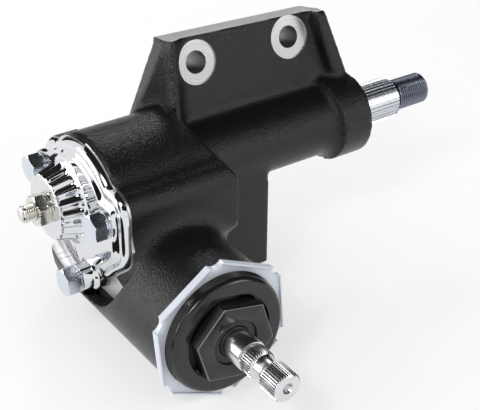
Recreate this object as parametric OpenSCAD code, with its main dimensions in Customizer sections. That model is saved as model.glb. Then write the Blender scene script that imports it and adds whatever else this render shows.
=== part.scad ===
// Manual recirculating-ball steering gearbox, cross-steer type.
// Gear axes: the sector shaft lies along X, the worm along Y, below it.
// The part's origin is the left frame-bolt hole, on the machined mounting face.

/* [Gear set] */
// Module of the rack and sector teeth
tooth_module = 4; // [3.8:0.05:4.1]
// Turns of the input for one turn of the sector
ratio = 16; // [15:0.5:18]
// Face width of the sector and of the rack
gear_width = 27; // [24:0.5:28]
// Play between the teeth at the pitch line
backlash = 0.3; // [0.2:0.05:0.4]

/* [Sector shaft] */
// Diameter of the running journals in the housing
journal_d = 28; // [27:0.25:28.5]
// Diameter over the output spline
spline_d = 25.4; // [24:0.1:26]
// Diameter of the pitman nut thread
thread_d = 19.05; // [17:0.05:20]
// Length from the worm axis to the threaded end
sector_reach = 217.5; // [212:0.5:222]

/* [Input shaft] */
// Diameter of the plain input shank
shank_d = 17; // [16.5:0.1:18]
// Diameter over the input spline
input_spline_d = 15.88; // [15:0.02:16.2]
// Length from the sector axis to the input end
input_reach = 153.6; // [150:0.2:158]

/* [Housing] */
// Outside diameter of the sector tube
tube_d = 40.4; // [39.6:0.1:42]
// Outside diameter of the seal boss
seal_boss_d = 50.2; // [49:0.2:53]
// Diameter of the sector chamber
chamber_d = 83.6; // [83:0.2:86]
// Outside diameter of the worm tube
worm_tube_d = 72.8; // [72:0.2:76]
// Diameter of the adjuster plug thread
plug_d = 66; // [65:0.1:66.4]

/* [Frame mounting] */
// Distance between the two upper frame-bolt holes
hole_pitch = 63.5; // [62:0.5:64.5]
// Diameter of the upper frame-bolt holes
hole_d = 13; // [11:0.1:14]
// Lean of the mounting face from the worm's normal plane
plate_tilt = 15; // [14:0.5:16]
// Height of the upper holes above the sector axis, along the face
hole_rise = 53.6; // [52:0.2:55]

/* [Side cover] */
// Radius of the cover bolt circle
cover_bolt_r = 35.5; // [35:0.1:36]
// Diameter of the cover bolts
cover_bolt_d = 8; // [7.6:0.1:8.6]
// Diameter of the lash adjuster screw
lash_d = 9.5; // [9:0.1:10]

/* [Fits] */
// Radial running clearance of shafts in their bushes
run_gap = 0.05; // [0.02:0.01:0.08]

/* [Hidden] */
$fn = 64;
thread_gap = 0.05;

// Teeth of a full sector circle, and those that are cut
sector_z = 10;
cut_teeth = [-1, 0, 1];
pressure = 25;
addendum = 0.8 * tooth_module;
dedendum = 0.98 * tooth_module;
sector_pr = sector_z * tooth_module / 2;
base_r = sector_pr * cos(pressure);
sector_tip_r = sector_pr + addendum;
sector_root_r = sector_pr - dedendum;
rack_rise = 18.1;
axis_gap = sector_pr + rack_rise;
swing = 36;
lead = 2 * PI * sector_pr / ratio;
travel = sector_pr * swing * PI / 180;
tooth_pitch = PI * tooth_module;

// Stations along the sector shaft
cover_face_x = -25;
gasket_t = 0.8;
flange_t = 3.2;
plateau_t = 2.4;
cover_back_x = cover_face_x - gasket_t;
ledge_x = cover_back_x - flange_t;
plateau_x = ledge_x - plateau_t;
boss_front_x = -45;
boss_floor_x = boss_front_x + 4;
chamber_right_x = 41.6;
cavity_right_x = 33;
seal_boss_x0 = 135.8;
tube_end_x = 158;
seal_t = 8;
spline_x0 = tube_end_x + 0.6;
spline_x1 = 190.7;
journal_r = journal_d / 2;
bush_t = 2.5;
bush_r = journal_r + run_gap + bush_t;
tube_r = tube_d / 2;
seal_r = 20;
cover_journal_r = 12;
cover_bush_r = cover_journal_r + run_gap + 2;
stub_end_x = boss_floor_x + 1.2;

// Stations along the worm, measured on Y
tube_front_y = -95;
tube_back_y = 17;
nose_back_y = 52;
nose_r = 24.5;
cavity_r = 27;
worm_tube_r = worm_tube_d / 2;
plug_r = plug_d / 2;
plug_inner_y = -79;
plug_face_y = -105.3;
hex_face_y = -111;
nut_front_y = -34;
nut_back_y = 18.6;
nut_r = 16.4;
worm_r = 9.2;
ball_path_r = 9.6;
ball_r = 2.35;
bore_lip_r = 10;
bore_ball_r = 12.3;
worm_y0 = -56;
worm_y1 = 36;
thread_y0 = -40;
thread_y1 = 18;

// Worm bearings
bearing_ball_r = 3;
bearing_path_r = 12.7;
bearing_balls = 10;
race_gap = 0.3;
cup_r = 18;
cup_t = 7.5;
upper_path_y = -70;
lower_path_y = 41;

// Input end stations
shank_r = shank_d / 2;
input_spline_r = input_spline_d / 2;
shank_end_y = -124.5;
groove_y0 = -133;
groove_y1 = -140.5;
worm_seal_r = 12.6;
seal_land_y = hex_face_y - 0.4;
seal_land_r = shank_r + 0.5;
cage_in_r = seal_land_r + 0.3;
plug_bore_r = seal_land_r + 0.6;

// Mounting plate, measured in its own leaning frame
spot_d = -0.6;
floor_d = -1.5;
face_d = 21;
left_hole_x = 58.4;
right_hole_x = left_hole_x + hole_pitch;
lower_hole_x = 66;
lower_hole_rise = -47;
lower_hole_r = 5.3;
lower_hole_depth = 18;

// Lower part of the left end, kept clear of the frame
relief_x = 46;
relief_t = 1.5;
boss_trim_x = 100;

// Sector chamber, centred on Y and Z
chamber_y = -10;
chamber_z = -3;
chamber_r = chamber_d / 2;
journal_wall_r = 31.5;
cover_pad_r = 50.5;
opening_r = sector_tip_r + 1;

// Side cover outline on Y and Z: a disc, a broad front pad and lobes at the bolts
cover_mid = [-7.5, -3];
cover_disc_r = 38.9;
cover_lobe_r = 11;
front_lobes = [[-42.3, 12], [-42.3, -9.5], [-15.5, -31.5]];
rear_lobe = [21, 15];
bolt_lobe_r = 9.6;
bolt_seat_r = 8.8;
plateau_inset = 6;
flange_depth = 16;
flange_step = 0.5;

// Cover bolts; the bottom one stands on a pillar
bolt_mid = [-5, -3.6];
bolt_angles = [19.9, 165.9, 247.5];
pillar_t = 7;
pillar_r = 7.4;
bolt_r = cover_bolt_d / 2;
lash_r = lash_d / 2;
washer_t = 2.4;
head_t = 6.6;
bolt_seats = [plateau_x, plateau_x, plateau_x - pillar_t];
function bolt_at(k) = bolt_mid + cover_bolt_r * [cos(bolt_angles[k]), sin(bolt_angles[k])];
bolt_tip_x = -18.6;
head_corner_r = 8.25;

// The left upper hole on the mounting face, in gear axes
origin_y = hole_rise * sin(plate_tilt) + face_d * cos(plate_tilt);
origin_z = hole_rise * cos(plate_tilt) - face_d * sin(plate_tilt);

// Frames

// Moves gear axes to the part's origin
module placed()
    translate([-left_hole_x, -origin_y, -origin_z]) children();

// Local Z runs along the sector axis, local X points down
module on_sector()
    rotate([0, 90, 0]) children();

// Local Z runs along the worm axis, as Y does
module on_worm()
    translate([0, 0, -axis_gap]) rotate([-90, 0, 0]) children();

// Local Y runs back through the mounting plate, local Z up along it
module on_plate()
    rotate([-plate_tilt, 0, 0]) children();

// Rod on the sector axis between two stations
module sector_rod(x0, x1, r)
    on_sector() translate([0, 0, x0]) cylinder(h = x1 - x0, r = r);

// Rod on the worm axis between two stations
module worm_rod(y0, y1, r)
    on_worm() translate([0, 0, y0]) cylinder(h = y1 - y0, r = r);

// Rod along X at a given Y and Z
module x_rod(x0, x1, y, z, r)
    translate([x0, y, z]) rotate([0, 90, 0]) cylinder(h = x1 - x0, r = r);

// Slab of a plate outline between two depths
module slab(d0, d1, pts)
    translate([0, d1, 0]) rotate([90, 0, 0]) linear_extrude(d1 - d0) polygon(pts);

// Slice of a rib section at a height up the plate
module slice(rise, pts)
    translate([0, 0, rise]) linear_extrude(0.2) polygon(pts);

// Places children at one cover bolt, with local Z along X
module at_bolt(k, x)
    translate([x, bolt_at(k)[0], bolt_at(k)[1]]) rotate([0, 90, 0]) children();

// Places children at each cover bolt
module at_cover_bolts(x)
    for (k = [0 : 2]) at_bolt(k, x) children();

// Hexagon bar with its lower end chamfered by 30 degrees
chamfer_share = 0.89;
module hex_bar(h, r)
    intersection() {
        cylinder(h = h, r = r, $fn = 6);
        cylinder(h = h, r1 = chamfer_share * r, r2 = chamfer_share * r + h / tan(30));
    }

// Gear profiles

function inv_deg(a) = tan(a) - a * PI / 180;
function flank_half(r) =
    ((tooth_pitch / 2 - backlash / 2) / (2 * sector_pr) + inv_deg(pressure)
        - inv_deg(acos(min(1, base_r / max(r, base_r))))) * 180 / PI;
function polar(r, a) = [r * cos(a), r * sin(a)];
flank_steps = 6;
function flank(side) = [for (i = [0 : flank_steps])
    let (r = base_r + (sector_tip_r - base_r) * i / flank_steps)
    polar(r, side * flank_half(r))];
function reversed(v) = [for (i = [len(v) - 1 : -1 : 0]) v[i]];

// One involute tooth about local +X
module sector_tooth()
    polygon(concat(
        [polar(sector_root_r - 2, -flank_half(base_r))],
        flank(-1),
        reversed(flank(1)),
        [polar(sector_root_r - 2, flank_half(base_r))]));

// Sector body with the cut teeth
module sector_profile() {
    intersection() {
        circle(r = sector_root_r);
        polygon([[-1, -10], [-1, 10], [30, 42], [30, -42]]);
    }
    circle(r = 13);
    for (k = cut_teeth) rotate(k * 360 / sector_z) sector_tooth();
}

// Rack outline on Y and Z about the nut's middle, with a space at Y = 0
rack_half = tooth_pitch / 4 - backlash / 4;
rack_tip = rack_half - addendum * tan(pressure);
rack_root = rack_half + dedendum * tan(pressure);
module rack_tooth(y)
    translate([y, rack_rise])
        polygon([[-rack_root, -dedendum - 1], [-rack_root, -dedendum], [-rack_tip, addendum],
            [rack_tip, addendum], [rack_root, -dedendum], [rack_root, -dedendum - 1]]);

// Toothed spline outline
module spline_profile(r, depth, teeth) {
    step = 360 / teeth;
    polygon([for (i = [0 : teeth - 1]) each [
        polar(r - depth, (i - 0.30) * step),
        polar(r, (i - 0.17) * step),
        polar(r, (i + 0.17) * step),
        polar(r - depth, (i + 0.30) * step)]]);
}

// Splined bar with both ends chamfered
module spline_bar(h, r, depth, teeth) {
    low = r - depth - 0.2;
    high = r + 0.6;
    rise = high - low;
    intersection() {
        linear_extrude(h) spline_profile(r, depth, teeth);
        rotate_extrude()
            polygon([[0, 0], [low, 0], [high, rise], [high, h - rise], [low, h], [0, h]]);
    }
}

// Housing

module plate_body() on_plate() {
    // Lofted plate: the left end flares towards the frame
    hull() {
        slab(floor_d, floor_d + 0.2,
            [[41.5, 69.5], [146.3, 65.6], [157, 0], [33, 0]]);
        slab(face_d - 0.2, face_d,
            [[46.8, 69.5], [148, 65.6], [157, 0], [3, 0]]);
    }
    // Left rib
    hull() {
        slice(69.3, [[41.5, 2], [41.7, -5.6], [44.6, -5.6], [51, floor_d], [51, 2]]);
        slice(16, [[35.2, 2], [34.6, -7], [38.4, -7], [45, floor_d], [45, 2]]);
    }
    // Right rib, leaning into the seal boss
    hull() {
        slice(65.4, [[146.3, 2], [142.3, -11.8], [135, -12.6], [136.8, floor_d], [136.8, 2]]);
        slice(18, [[157.6, 2], [157.4, -8], [147.5, -8], [145.5, floor_d], [145.5, 2]]);
    }
}

// Leg under the tube for the third frame bolt
leg_x0 = 24;
leg_x1 = 87;
leg_front_y = -19;
leg_bottom_z = -73;
function face_y(z) = (face_d + z * sin(plate_tilt)) / cos(plate_tilt);
module leg()
    translate([leg_x0, 0, 0]) rotate([90, 0, 90]) linear_extrude(leg_x1 - leg_x0)
        polygon([[leg_front_y, 2], [leg_front_y, leg_bottom_z],
            [face_y(leg_bottom_z), leg_bottom_z], [face_y(2), 2]]);

module chamber_body() difference() {
    union() {
        x_rod(cover_face_x, chamber_right_x, chamber_y, chamber_z, chamber_r);
        sector_rod(cover_face_x, chamber_right_x, journal_wall_r);
        // Flange behind the cover, and the flat front
        yz_slab(cover_face_x, cover_face_x + flange_depth) cover_outline(flange_step);
        yz_slab(cover_face_x, chamber_right_x) front_pad(flange_step);
    }
    // Top of the right end leans back
    translate([chamber_right_x, 0, 15]) rotate([0, -30.6, 0]) translate([0, -100, 0])
        cube([100, 200, 100]);
}

module housing_cavity() {
    // Sector chamber, open to the cover
    sector_rod(cover_face_x - 1, cavity_right_x, opening_r);
    // Worm, nut and rack cavity, with room for the ball guides below
    worm_rod(plug_inner_y, lower_path_y - 1, nut_r + 0.8);
    worm_rod(plug_inner_y, nut_front_y - travel - 2, cavity_r);
    translate([-gear_width / 2 - 0.8, nut_front_y - travel - 1, -axis_gap])
        cube([gear_width + 1.6, nut_back_y - nut_front_y + 2 * travel + 2, rack_rise + addendum + 1]);
    translate([-13.4, guide_y0 - 5 - travel, -axis_gap - 28.5])
        cube([26.8, guide_y1 - guide_y0 + 10 + 2 * travel, 28.5]);
    // Lower bearing
    worm_rod(lower_path_y - 2, lower_path_y + cup_t - 1, cup_r);
    worm_rod(lower_path_y, nose_back_y - 2, 8);
    // Plug thread
    worm_rod(tube_front_y - 1, plug_inner_y + 0.5, plug_r + thread_gap);
    // Sector bushes and seal
    sector_rod(0, tube_end_x, bush_r);
    sector_rod(tube_end_x - seal_t - 1, tube_end_x + 1, seal_r);
    // Cover bolt threads
    at_cover_bolts(cover_face_x - 1) cylinder(h = bolt_tip_x - cover_face_x + 1.4, r = bolt_r + thread_gap);
}

module frame_holes() on_plate() {
    for (x = [left_hole_x, right_hole_x]) translate([x, 0, hole_rise]) rotate([-90, 0, 0]) {
        translate([0, 0, spot_d - 22]) cylinder(h = 22, r = 12.6);
        translate([0, 0, spot_d - 1]) cylinder(h = face_d - spot_d + 2, r = hole_d / 2);
    }
    translate([lower_hole_x, face_d - lower_hole_depth, lower_hole_rise]) rotate([-90, 0, 0])
        cylinder(h = lower_hole_depth + 1, r = lower_hole_r);
}

module gear_housing()
    color([0.05, 0.05, 0.055]) placed() difference() {
        union() {
            sector_rod(10, tube_end_x - 10, tube_r);
            sector_rod(seal_boss_x0, tube_end_x, seal_boss_d / 2);
            difference() {
                union() {
                    plate_body();
                    leg();
                }
                // The left end stands clear of the frame
                on_plate() translate([-20, face_d - relief_t, -100]) cube([20 + relief_x, 20, 180]);
            }
            chamber_body();
            worm_rod(tube_front_y, tube_back_y, worm_tube_r);
            worm_rod(tube_back_y - 1, nose_back_y, nose_r);
            // Shoulder over the rack's rear run
            translate([-19, 0, -axis_gap]) cube([38, nut_back_y + travel + 6, rack_rise + addendum + 6]);
        }
        // Milled seat of the side cover, cut into the worm tube
        x_rod(-60, cover_face_x, chamber_y, chamber_z, cover_pad_r);
        // Seal boss milled flush with the mounting face
        on_plate() translate([boss_trim_x, face_d, -60]) cube([80, 20, 140]);
        housing_cavity();
        frame_holes();
    }

// Side cover

// Straight-edged band between two lobes of the same radius
module lobe_band(p, q, r) {
    way = q - p;
    translate(p) rotate(atan2(way[1], way[0])) translate([0, -r]) square([norm(way), 2 * r]);
}

// Broad front pad with a flat front and a straight lower edge
module front_pad(grow) {
    for (p = front_lobes) translate(p) circle(r = cover_lobe_r + grow);
    for (k = [1 : len(front_lobes) - 1])
        lobe_band(front_lobes[k - 1], front_lobes[k], cover_lobe_r + grow);
}

module cover_outline(grow) {
    translate(cover_mid) circle(r = cover_disc_r + grow);
    front_pad(grow);
    translate(rear_lobe) circle(r = cover_lobe_r + grow);
    for (k = [0 : 2]) translate(bolt_at(k)) circle(r = max(bolt_lobe_r + grow, bolt_seat_r));
}

// Outline drawn on Y and Z, made solid between two X stations
module yz_slab(x0, x1)
    translate([x0, 0, 0]) rotate([90, 0, 90]) linear_extrude(x1 - x0) children();

flute_count = 20;
head_room_r = 9.2;
boss_lean = atan2(4, plateau_x - boss_front_x);
boss_flute = plateau_x - boss_front_x - 1.6;
module side_cover()
    color([0.85, 0.86, 0.88]) placed() difference() {
        union() {
            yz_slab(ledge_x, cover_back_x) cover_outline(0);
            yz_slab(plateau_x, ledge_x) cover_outline(-plateau_inset);
            on_sector() translate([0, 0, boss_front_x])
                cylinder(h = plateau_x - boss_front_x, r1 = 18, r2 = 22);
            sector_rod(plateau_x - 1.2, plateau_x, 23.6);
            at_bolt(2, bolt_seats[2]) cylinder(h = pillar_t, r = pillar_r);
        }
        // Flutes round the boss
        for (k = [0 : flute_count - 1])
            on_sector() rotate(k * 360 / flute_count) translate([18.9, 0, boss_front_x + 1.2])
                rotate([0, boss_lean, 0]) cylinder(h = boss_flute, r = 1.5);
        // Bush bore, stub room and lash screw thread
        sector_rod(boss_floor_x, cover_back_x + 1, cover_bush_r);
        sector_rod(boss_front_x - 1, boss_floor_x + 1, lash_r + thread_gap);
        for (k = [0 : 2]) {
            at_bolt(k, bolt_seats[k] - 1) cylinder(h = 20, r = bolt_r + 0.25);
            // Room for the bolt head beside the boss
            at_bolt(k, -70) cylinder(h = 70 + bolt_seats[k], r = head_room_r);
        }
    }

module cover_gasket()
    color([0.30, 0.25, 0.19]) placed() difference() {
        yz_slab(cover_back_x, cover_face_x) cover_outline(0);
        sector_rod(cover_back_x - 1, cover_face_x + 1, opening_r);
        at_cover_bolts(cover_back_x - 1) cylinder(h = 4, r = bolt_r + 0.4);
    }

module cover_bolts()
    color([0.72, 0.76, 0.82]) placed() for (k = [0 : 2]) at_bolt(k, bolt_seats[k] - washer_t) {
        translate([0, 0, -head_t]) hex_bar(head_t, head_corner_r);
        cylinder(h = bolt_tip_x - bolt_seats[k] + washer_t, r = bolt_r);
    }

module cover_washers()
    color([0.75, 0.79, 0.85]) placed() for (k = [0 : 2]) at_bolt(k, bolt_seats[k] - washer_t) difference() {
        cylinder(h = washer_t, r = 7.6);
        translate([0, 0, -1]) cylinder(h = washer_t + 2, r = bolt_r + 0.15);
        // Split of the lock washer
        rotate(40) translate([0, -0.6, -1]) cube([12, 1.2, washer_t + 2]);
    }

// Lash adjuster

lash_tip_x = -60;
lash_head_x0 = -36.6;
lash_head_t = 3;
lash_head_r = 6.6;
shim_t = 1.2;
nut_t = 7.2;
lash_nut_r = 9.2;
module lash_screw()
    color([0.72, 0.72, 0.68]) placed() difference() {
        union() {
            sector_rod(lash_tip_x, lash_head_x0 + 1, lash_r);
            sector_rod(lash_head_x0, lash_head_x0 + lash_head_t, lash_head_r);
        }
        // Screwdriver slot
        translate([lash_tip_x - 1, -0.8, -10]) cube([3.2, 1.6, 20]);
    }

module lash_lock_nut()
    color([0.78, 0.78, 0.78]) placed() on_sector() translate([0, 0, boss_front_x - nut_t])
        difference() {
            hex_bar(nut_t, lash_nut_r);
            translate([0, 0, -1]) cylinder(h = nut_t + 2, r = lash_r + thread_gap);
        }

module lash_shim()
    color([0.55, 0.55, 0.57]) placed()
        sector_rod(lash_head_x0 + lash_head_t, lash_head_x0 + lash_head_t + shim_t, lash_head_r);

// Sector shaft

slot_gap = 0.06;
module sector_shaft()
    color([0.66, 0.68, 0.70]) placed() difference() {
        union() {
            sector_rod(stub_end_x, 0, cover_journal_r);
            on_sector() translate([0, 0, -gear_width / 2]) linear_extrude(gear_width)
                sector_profile();
            sector_rod(gear_width / 2, tube_end_x, journal_r);
            on_sector() translate([0, 0, tube_end_x - 1])
                cylinder(h = spline_x0 - tube_end_x + 2, r = spline_d / 2 - 1.2);
            on_sector() translate([0, 0, spline_x0])
                spline_bar(spline_x1 - spline_x0, spline_d / 2, 1, 36);
            sector_rod(spline_x1 - 1, sector_reach - 1.2, thread_d / 2);
            on_sector() translate([0, 0, sector_reach - 1.2])
                cylinder(h = 1.2, r1 = thread_d / 2, r2 = thread_d / 2 - 1.2);
        }
        // T-slot for the lash screw head and shim
        translate([lash_head_x0 - slot_gap, -lash_head_r - 0.3, -20])
            cube([lash_head_t + shim_t + 2 * slot_gap, 2 * lash_head_r + 0.6, 40]);
        translate([stub_end_x - 1, -lash_r - 0.3, -20])
            cube([lash_head_x0 - stub_end_x + 2, 2 * lash_r + 0.6, 40]);
        // Centre hole in the threaded end
        on_sector() translate([0, 0, sector_reach - 6]) cylinder(h = 7, r1 = 0.4, r2 = 3.4);
    }

module bush(x0, x1, r_in, r_out)
    difference() {
        sector_rod(x0, x1, r_out);
        sector_rod(x0 - 1, x1 + 1, r_in);
    }

module housing_bushes()
    color([0.70, 0.52, 0.26]) placed() {
        bush(cavity_right_x + 1, cavity_right_x + 30, journal_r + run_gap, bush_r);
        bush(tube_end_x - seal_t - 32, tube_end_x - seal_t - 2, journal_r + run_gap, bush_r);
    }

module cover_bush()
    color([0.70, 0.52, 0.26]) placed()
        bush(boss_floor_x + 0.6, cover_back_x, cover_journal_r + run_gap, cover_bush_r);

module sector_seal()
    color([0.08, 0.08, 0.08]) placed()
        bush(tube_end_x - seal_t - 0.6, tube_end_x - 0.6, journal_r + run_gap, seal_r);

// Worm, nut and balls

turns = (thread_y1 - thread_y0) / lead;
groove_gap = 0.35;
groove_r = ball_r + groove_gap;
section_steps = 30;
// The ball groove is round in the axial plane, so its depth follows the angle round the worm
function groove_depth(a) =
    let (off = lead * a / 360) sqrt(max(0, groove_r * groove_r - off * off));
function worm_radius(a) = min(worm_r, ball_path_r - groove_depth(a));
// Section of the worm across its axis, with the groove's bottom at angle 0
module worm_section()
    polygon([for (i = [0 : section_steps - 1])
        let (a = (i + 0.5) * 360 / section_steps - 180) polar(worm_radius(a), a)]);

module worm_shaft()
    color([0.74, 0.75, 0.77]) placed() {
        difference() {
            union() {
                on_worm() translate([0, 0, thread_y0])
                    linear_extrude(height = thread_y1 - thread_y0, twist = -360 * turns,
                        slices = ceil(turns * 12), $fn = 22)
                        rotate(360 * thread_y0 / lead) worm_section();
                worm_rod(worm_y0, thread_y0 + 0.5, worm_r - 1.2);
                worm_rod(thread_y1 - 0.5, worm_y1, worm_r - 1.2);
                // Upper race, shank and splined input
                worm_rod(upper_path_y, worm_y0 + 0.5, bearing_path_r - 0.4);
                worm_rod(shank_end_y, seal_land_y, shank_r);
                worm_rod(seal_land_y, upper_path_y + 1, seal_land_r);
                on_worm() translate([0, 0, groove_y0])
                    spline_bar(shank_end_y - groove_y0 + 1, input_spline_r, 0.7, 36);
                worm_rod(groove_y1 - 1, groove_y0 + 1, input_spline_r - 1.5);
                on_worm() translate([0, 0, -input_reach])
                    spline_bar(groove_y1 + input_reach, input_spline_r, 0.7, 36);
                // Lower race and stub
                worm_rod(worm_y1 - 0.5, lower_path_y, bearing_path_r - 0.4);
                worm_rod(lower_path_y - 1, lower_path_y + 6, 7.2);
            }
            for (y = [upper_path_y, lower_path_y])
                on_worm() translate([0, 0, y]) rotate_extrude()
                    translate([bearing_path_r, 0]) circle(r = bearing_ball_r + race_gap);
            on_worm() translate([0, 0, -input_reach - 0.5]) cylinder(h = 6, r1 = 3, r2 = 0.4);
        }
    }

guide_y0 = -19;
guide_y1 = -3;
guide_r = 3.4;
guide_reach = 15.2;
rack_floor = rack_rise - dedendum;
nut_len = nut_back_y - nut_front_y;
module ball_nut()
    color([0.58, 0.59, 0.61]) placed() difference() {
        union() {
            difference() {
                worm_rod(nut_front_y, nut_back_y, nut_r);
                translate([-30, nut_front_y - 1, rack_floor - axis_gap]) cube([60, nut_len + 2, 30]);
            }
            // Rack on top of the nut
            translate([-gear_width / 2, 0, -axis_gap]) rotate([90, 0, 90])
                linear_extrude(gear_width) intersection() {
                    translate([nut_front_y, 0]) square([nut_len, 40]);
                    union() {
                        translate([nut_front_y, 8]) square([nut_len, rack_floor - 8]);
                        for (k = [-2 : 1]) rack_tooth((k + 0.5) * tooth_pitch);
                        translate([nut_front_y, 8]) square([8, rack_rise + addendum - 8]);
                    }
                }
        }
        worm_rod(nut_front_y - 1, nut_back_y + 1, bore_lip_r);
        worm_rod(guide_y0 - 3.4, guide_y1 + 3.4, bore_ball_r);
        // Flat and holes under the nut for the ball guides
        translate([-20, guide_y0 - 5, -axis_gap - 30]) cube([40, guide_y1 - guide_y0 + 10, 15]);
        for (y = [guide_y0, guide_y1])
            translate([0, y, -axis_gap - 30]) cylinder(h = 24, r = guide_r + 0.05);
        for (x = [-9, 9])
            translate([x, (guide_y0 + guide_y1) / 2, -axis_gap - 16]) cylinder(h = 3.4, r = 1.55);
    }

// Loaded balls, two turns of the groove inside the nut
ball_mid_y = (guide_y0 + guide_y1) / 2;
balls_per_turn = 10;
module nut_balls()
    color([0.85, 0.86, 0.88]) placed() on_worm()
        for (k = [-9 : 9])
            let (a = 360 * ball_mid_y / lead + k * 360 / balls_per_turn)
            translate([ball_path_r * cos(a), ball_path_r * sin(a), lead * a / 360])
                sphere(r = ball_r);

// Tube section of a ball guide
module guide_section()
    difference() {
        circle(r = guide_r);
        circle(r = ball_r + 0.25);
    }

guide_half = (guide_y1 - guide_y0) / 2;
module ball_guides()
    color([0.75, 0.76, 0.78]) placed() translate([0, ball_mid_y, -axis_gap - guide_reach]) {
        rotate([90, 0, 90]) rotate(180) rotate_extrude(angle = 180)
            translate([guide_half, 0]) guide_section();
        for (y = [-guide_half, guide_half])
            translate([0, y, 0]) linear_extrude(guide_reach - bore_ball_r) guide_section();
    }

clamp_t = 1.2;
module guide_clamp()
    color([0.62, 0.63, 0.65]) placed() translate([0, ball_mid_y, -axis_gap - 15 - clamp_t])
        difference() {
            translate([-12, -3.5, 0]) cube([24, 7, clamp_t]);
            for (x = [-9, 9]) translate([x, 0, -1]) cylinder(h = 4, r = 1.7);
        }

module clamp_screws()
    color([0.60, 0.61, 0.63]) placed() for (x = [-9, 9])
        translate([x, ball_mid_y, -axis_gap - 15 - clamp_t]) {
            translate([0, 0, -1.6]) cylinder(h = 1.6, r = 2.6);
            cylinder(h = clamp_t + 2.2, r = 1.5);
        }

// Worm bearings

// Cup with a ball race; the way is +1 when the cup backs towards +Y
module bearing_cup(y, way)
    on_worm() translate([0, 0, y]) mirror([0, 0, way > 0 ? 0 : 1]) rotate_extrude() difference() {
        translate([plug_bore_r, -1]) square([cup_r - plug_bore_r, cup_t]);
        translate([bearing_path_r, 0]) circle(r = bearing_ball_r + race_gap);
        translate([0, -2]) square([bearing_path_r, 2 + bearing_ball_r]);
    }

module bearing_ball_set(y)
    on_worm() for (k = [0 : bearing_balls - 1]) rotate(k * 360 / bearing_balls)
        translate([bearing_path_r, 0, y]) sphere(r = bearing_ball_r);

// Cage ring on the cup's side of the balls, with a pocket for each ball
module bearing_cage(y, way)
    on_worm() translate([0, 0, y]) mirror([0, 0, way > 0 ? 0 : 1]) difference() {
        translate([0, 0, 1.2]) difference() {
            cylinder(h = 1.4, r = bearing_path_r - 0.4);
            translate([0, 0, -1]) cylinder(h = 4, r = cage_in_r);
        }
        for (k = [0 : bearing_balls - 1]) rotate(k * 360 / bearing_balls)
            translate([bearing_path_r, 0, 0]) sphere(r = bearing_ball_r + 0.03);
    }

module upper_cup() color([0.70, 0.71, 0.73]) placed() bearing_cup(upper_path_y, -1);
module upper_balls() color([0.85, 0.86, 0.88]) placed() bearing_ball_set(upper_path_y);
module upper_cage() color([0.70, 0.52, 0.26]) placed() bearing_cage(upper_path_y, -1);
module lower_cup() color([0.70, 0.71, 0.73]) placed() bearing_cup(lower_path_y, 1);
module lower_balls() color([0.85, 0.86, 0.88]) placed() bearing_ball_set(lower_path_y);
module lower_cage() color([0.70, 0.52, 0.26]) placed() bearing_cage(lower_path_y, 1);

// Adjuster plug, lock ring and seal

hex_r = 23.5;
hex_turn = 46.5;
plug_rim_r = 31;
plug_chamfer = 3.2;
plug_skirt_r = 21;
recess_r = hex_r + 0.4;
recess_t = 4.5;
module plug_hex(h)
    rotate(-hex_turn) cylinder(h = h, r = hex_r, $fn = 6);

module adjuster_plug()
    color([0.07, 0.07, 0.075]) placed() on_worm() difference() {
        union() {
            translate([0, 0, plug_face_y + plug_chamfer])
                cylinder(h = plug_inner_y - plug_face_y - plug_chamfer, r = plug_r);
            translate([0, 0, plug_face_y]) cylinder(h = plug_chamfer, r1 = plug_rim_r, r2 = plug_r);
            translate([0, 0, hex_face_y]) plug_hex(plug_face_y - hex_face_y + recess_t + 1);
            translate([0, 0, plug_inner_y - 1])
                cylinder(h = upper_path_y + 1.5 - plug_inner_y, r = plug_skirt_r);
        }
        // Deep ring round the hex
        translate([0, 0, plug_face_y - 1]) difference() {
            cylinder(h = recess_t + 1, r = recess_r);
            translate([0, 0, -1]) plug_hex(recess_t + 3);
        }
        // Shaft bore, seal pocket and bearing seat
        translate([0, 0, hex_face_y - 1]) cylinder(h = upper_path_y - hex_face_y + 2, r = plug_bore_r);
        translate([0, 0, hex_face_y - 1]) cylinder(h = 9, r = worm_seal_r);
        translate([0, 0, upper_path_y - cup_t + 1]) cylinder(h = 2 * cup_t, r = cup_r);
    }

module worm_seal()
    color([0.09, 0.09, 0.09]) placed() on_worm() difference() {
        translate([0, 0, hex_face_y + 1.6]) cylinder(h = 6.4, r = worm_seal_r);
        translate([0, 0, hex_face_y]) cylinder(h = 9, r = seal_land_r + run_gap);
    }

// Stamped hexagonal lock ring with turned lips and notched corners
ring_corner_r = 43;
ring_turn = 34.65;
ring_t = 2;
lip_h = 4.4;
lip_t = 1.9;
notch_t = 2.6;
lip_gap = 3.8;
module lock_ring() {
    tray_r = ring_corner_r - lip_t / cos(30);
    color([0.76, 0.80, 0.86]) placed() on_worm() difference() {
        translate([0, 0, tube_front_y - lip_h]) rotate(-ring_turn) difference() {
            cylinder(h = lip_h, r = ring_corner_r, $fn = 6);
            // Tray between the lips
            translate([0, 0, -1]) cylinder(h = lip_h - ring_t + 1, r = tray_r, $fn = 6);
            // Notched corners, with the lips set back from them
            for (k = [0 : 5]) rotate(60 * k) {
                translate([ring_corner_r - notch_t, -6, -1]) cube([10, 12, lip_h + 2]);
                translate([ring_corner_r - lip_gap, -9, -1]) cube([10, 18, lip_h - ring_t + 0.9]);
            }
        }
        translate([0, 0, tube_front_y - 20]) cylinder(h = 40, r = plug_r + thread_gap);
    }
}

gear_housing();
side_cover();
cover_gasket();
cover_bolts();
cover_washers();
lash_screw();
lash_lock_nut();
lash_shim();
sector_shaft();
housing_bushes();
cover_bush();
sector_seal();
worm_shaft();
ball_nut();
nut_balls();
ball_guides();
guide_clamp();
clamp_screws();
upper_cup();
upper_balls();
upper_cage();
lower_cup();
lower_balls();
lower_cage();
adjuster_plug();
lock_ring();
worm_seal();
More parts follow.
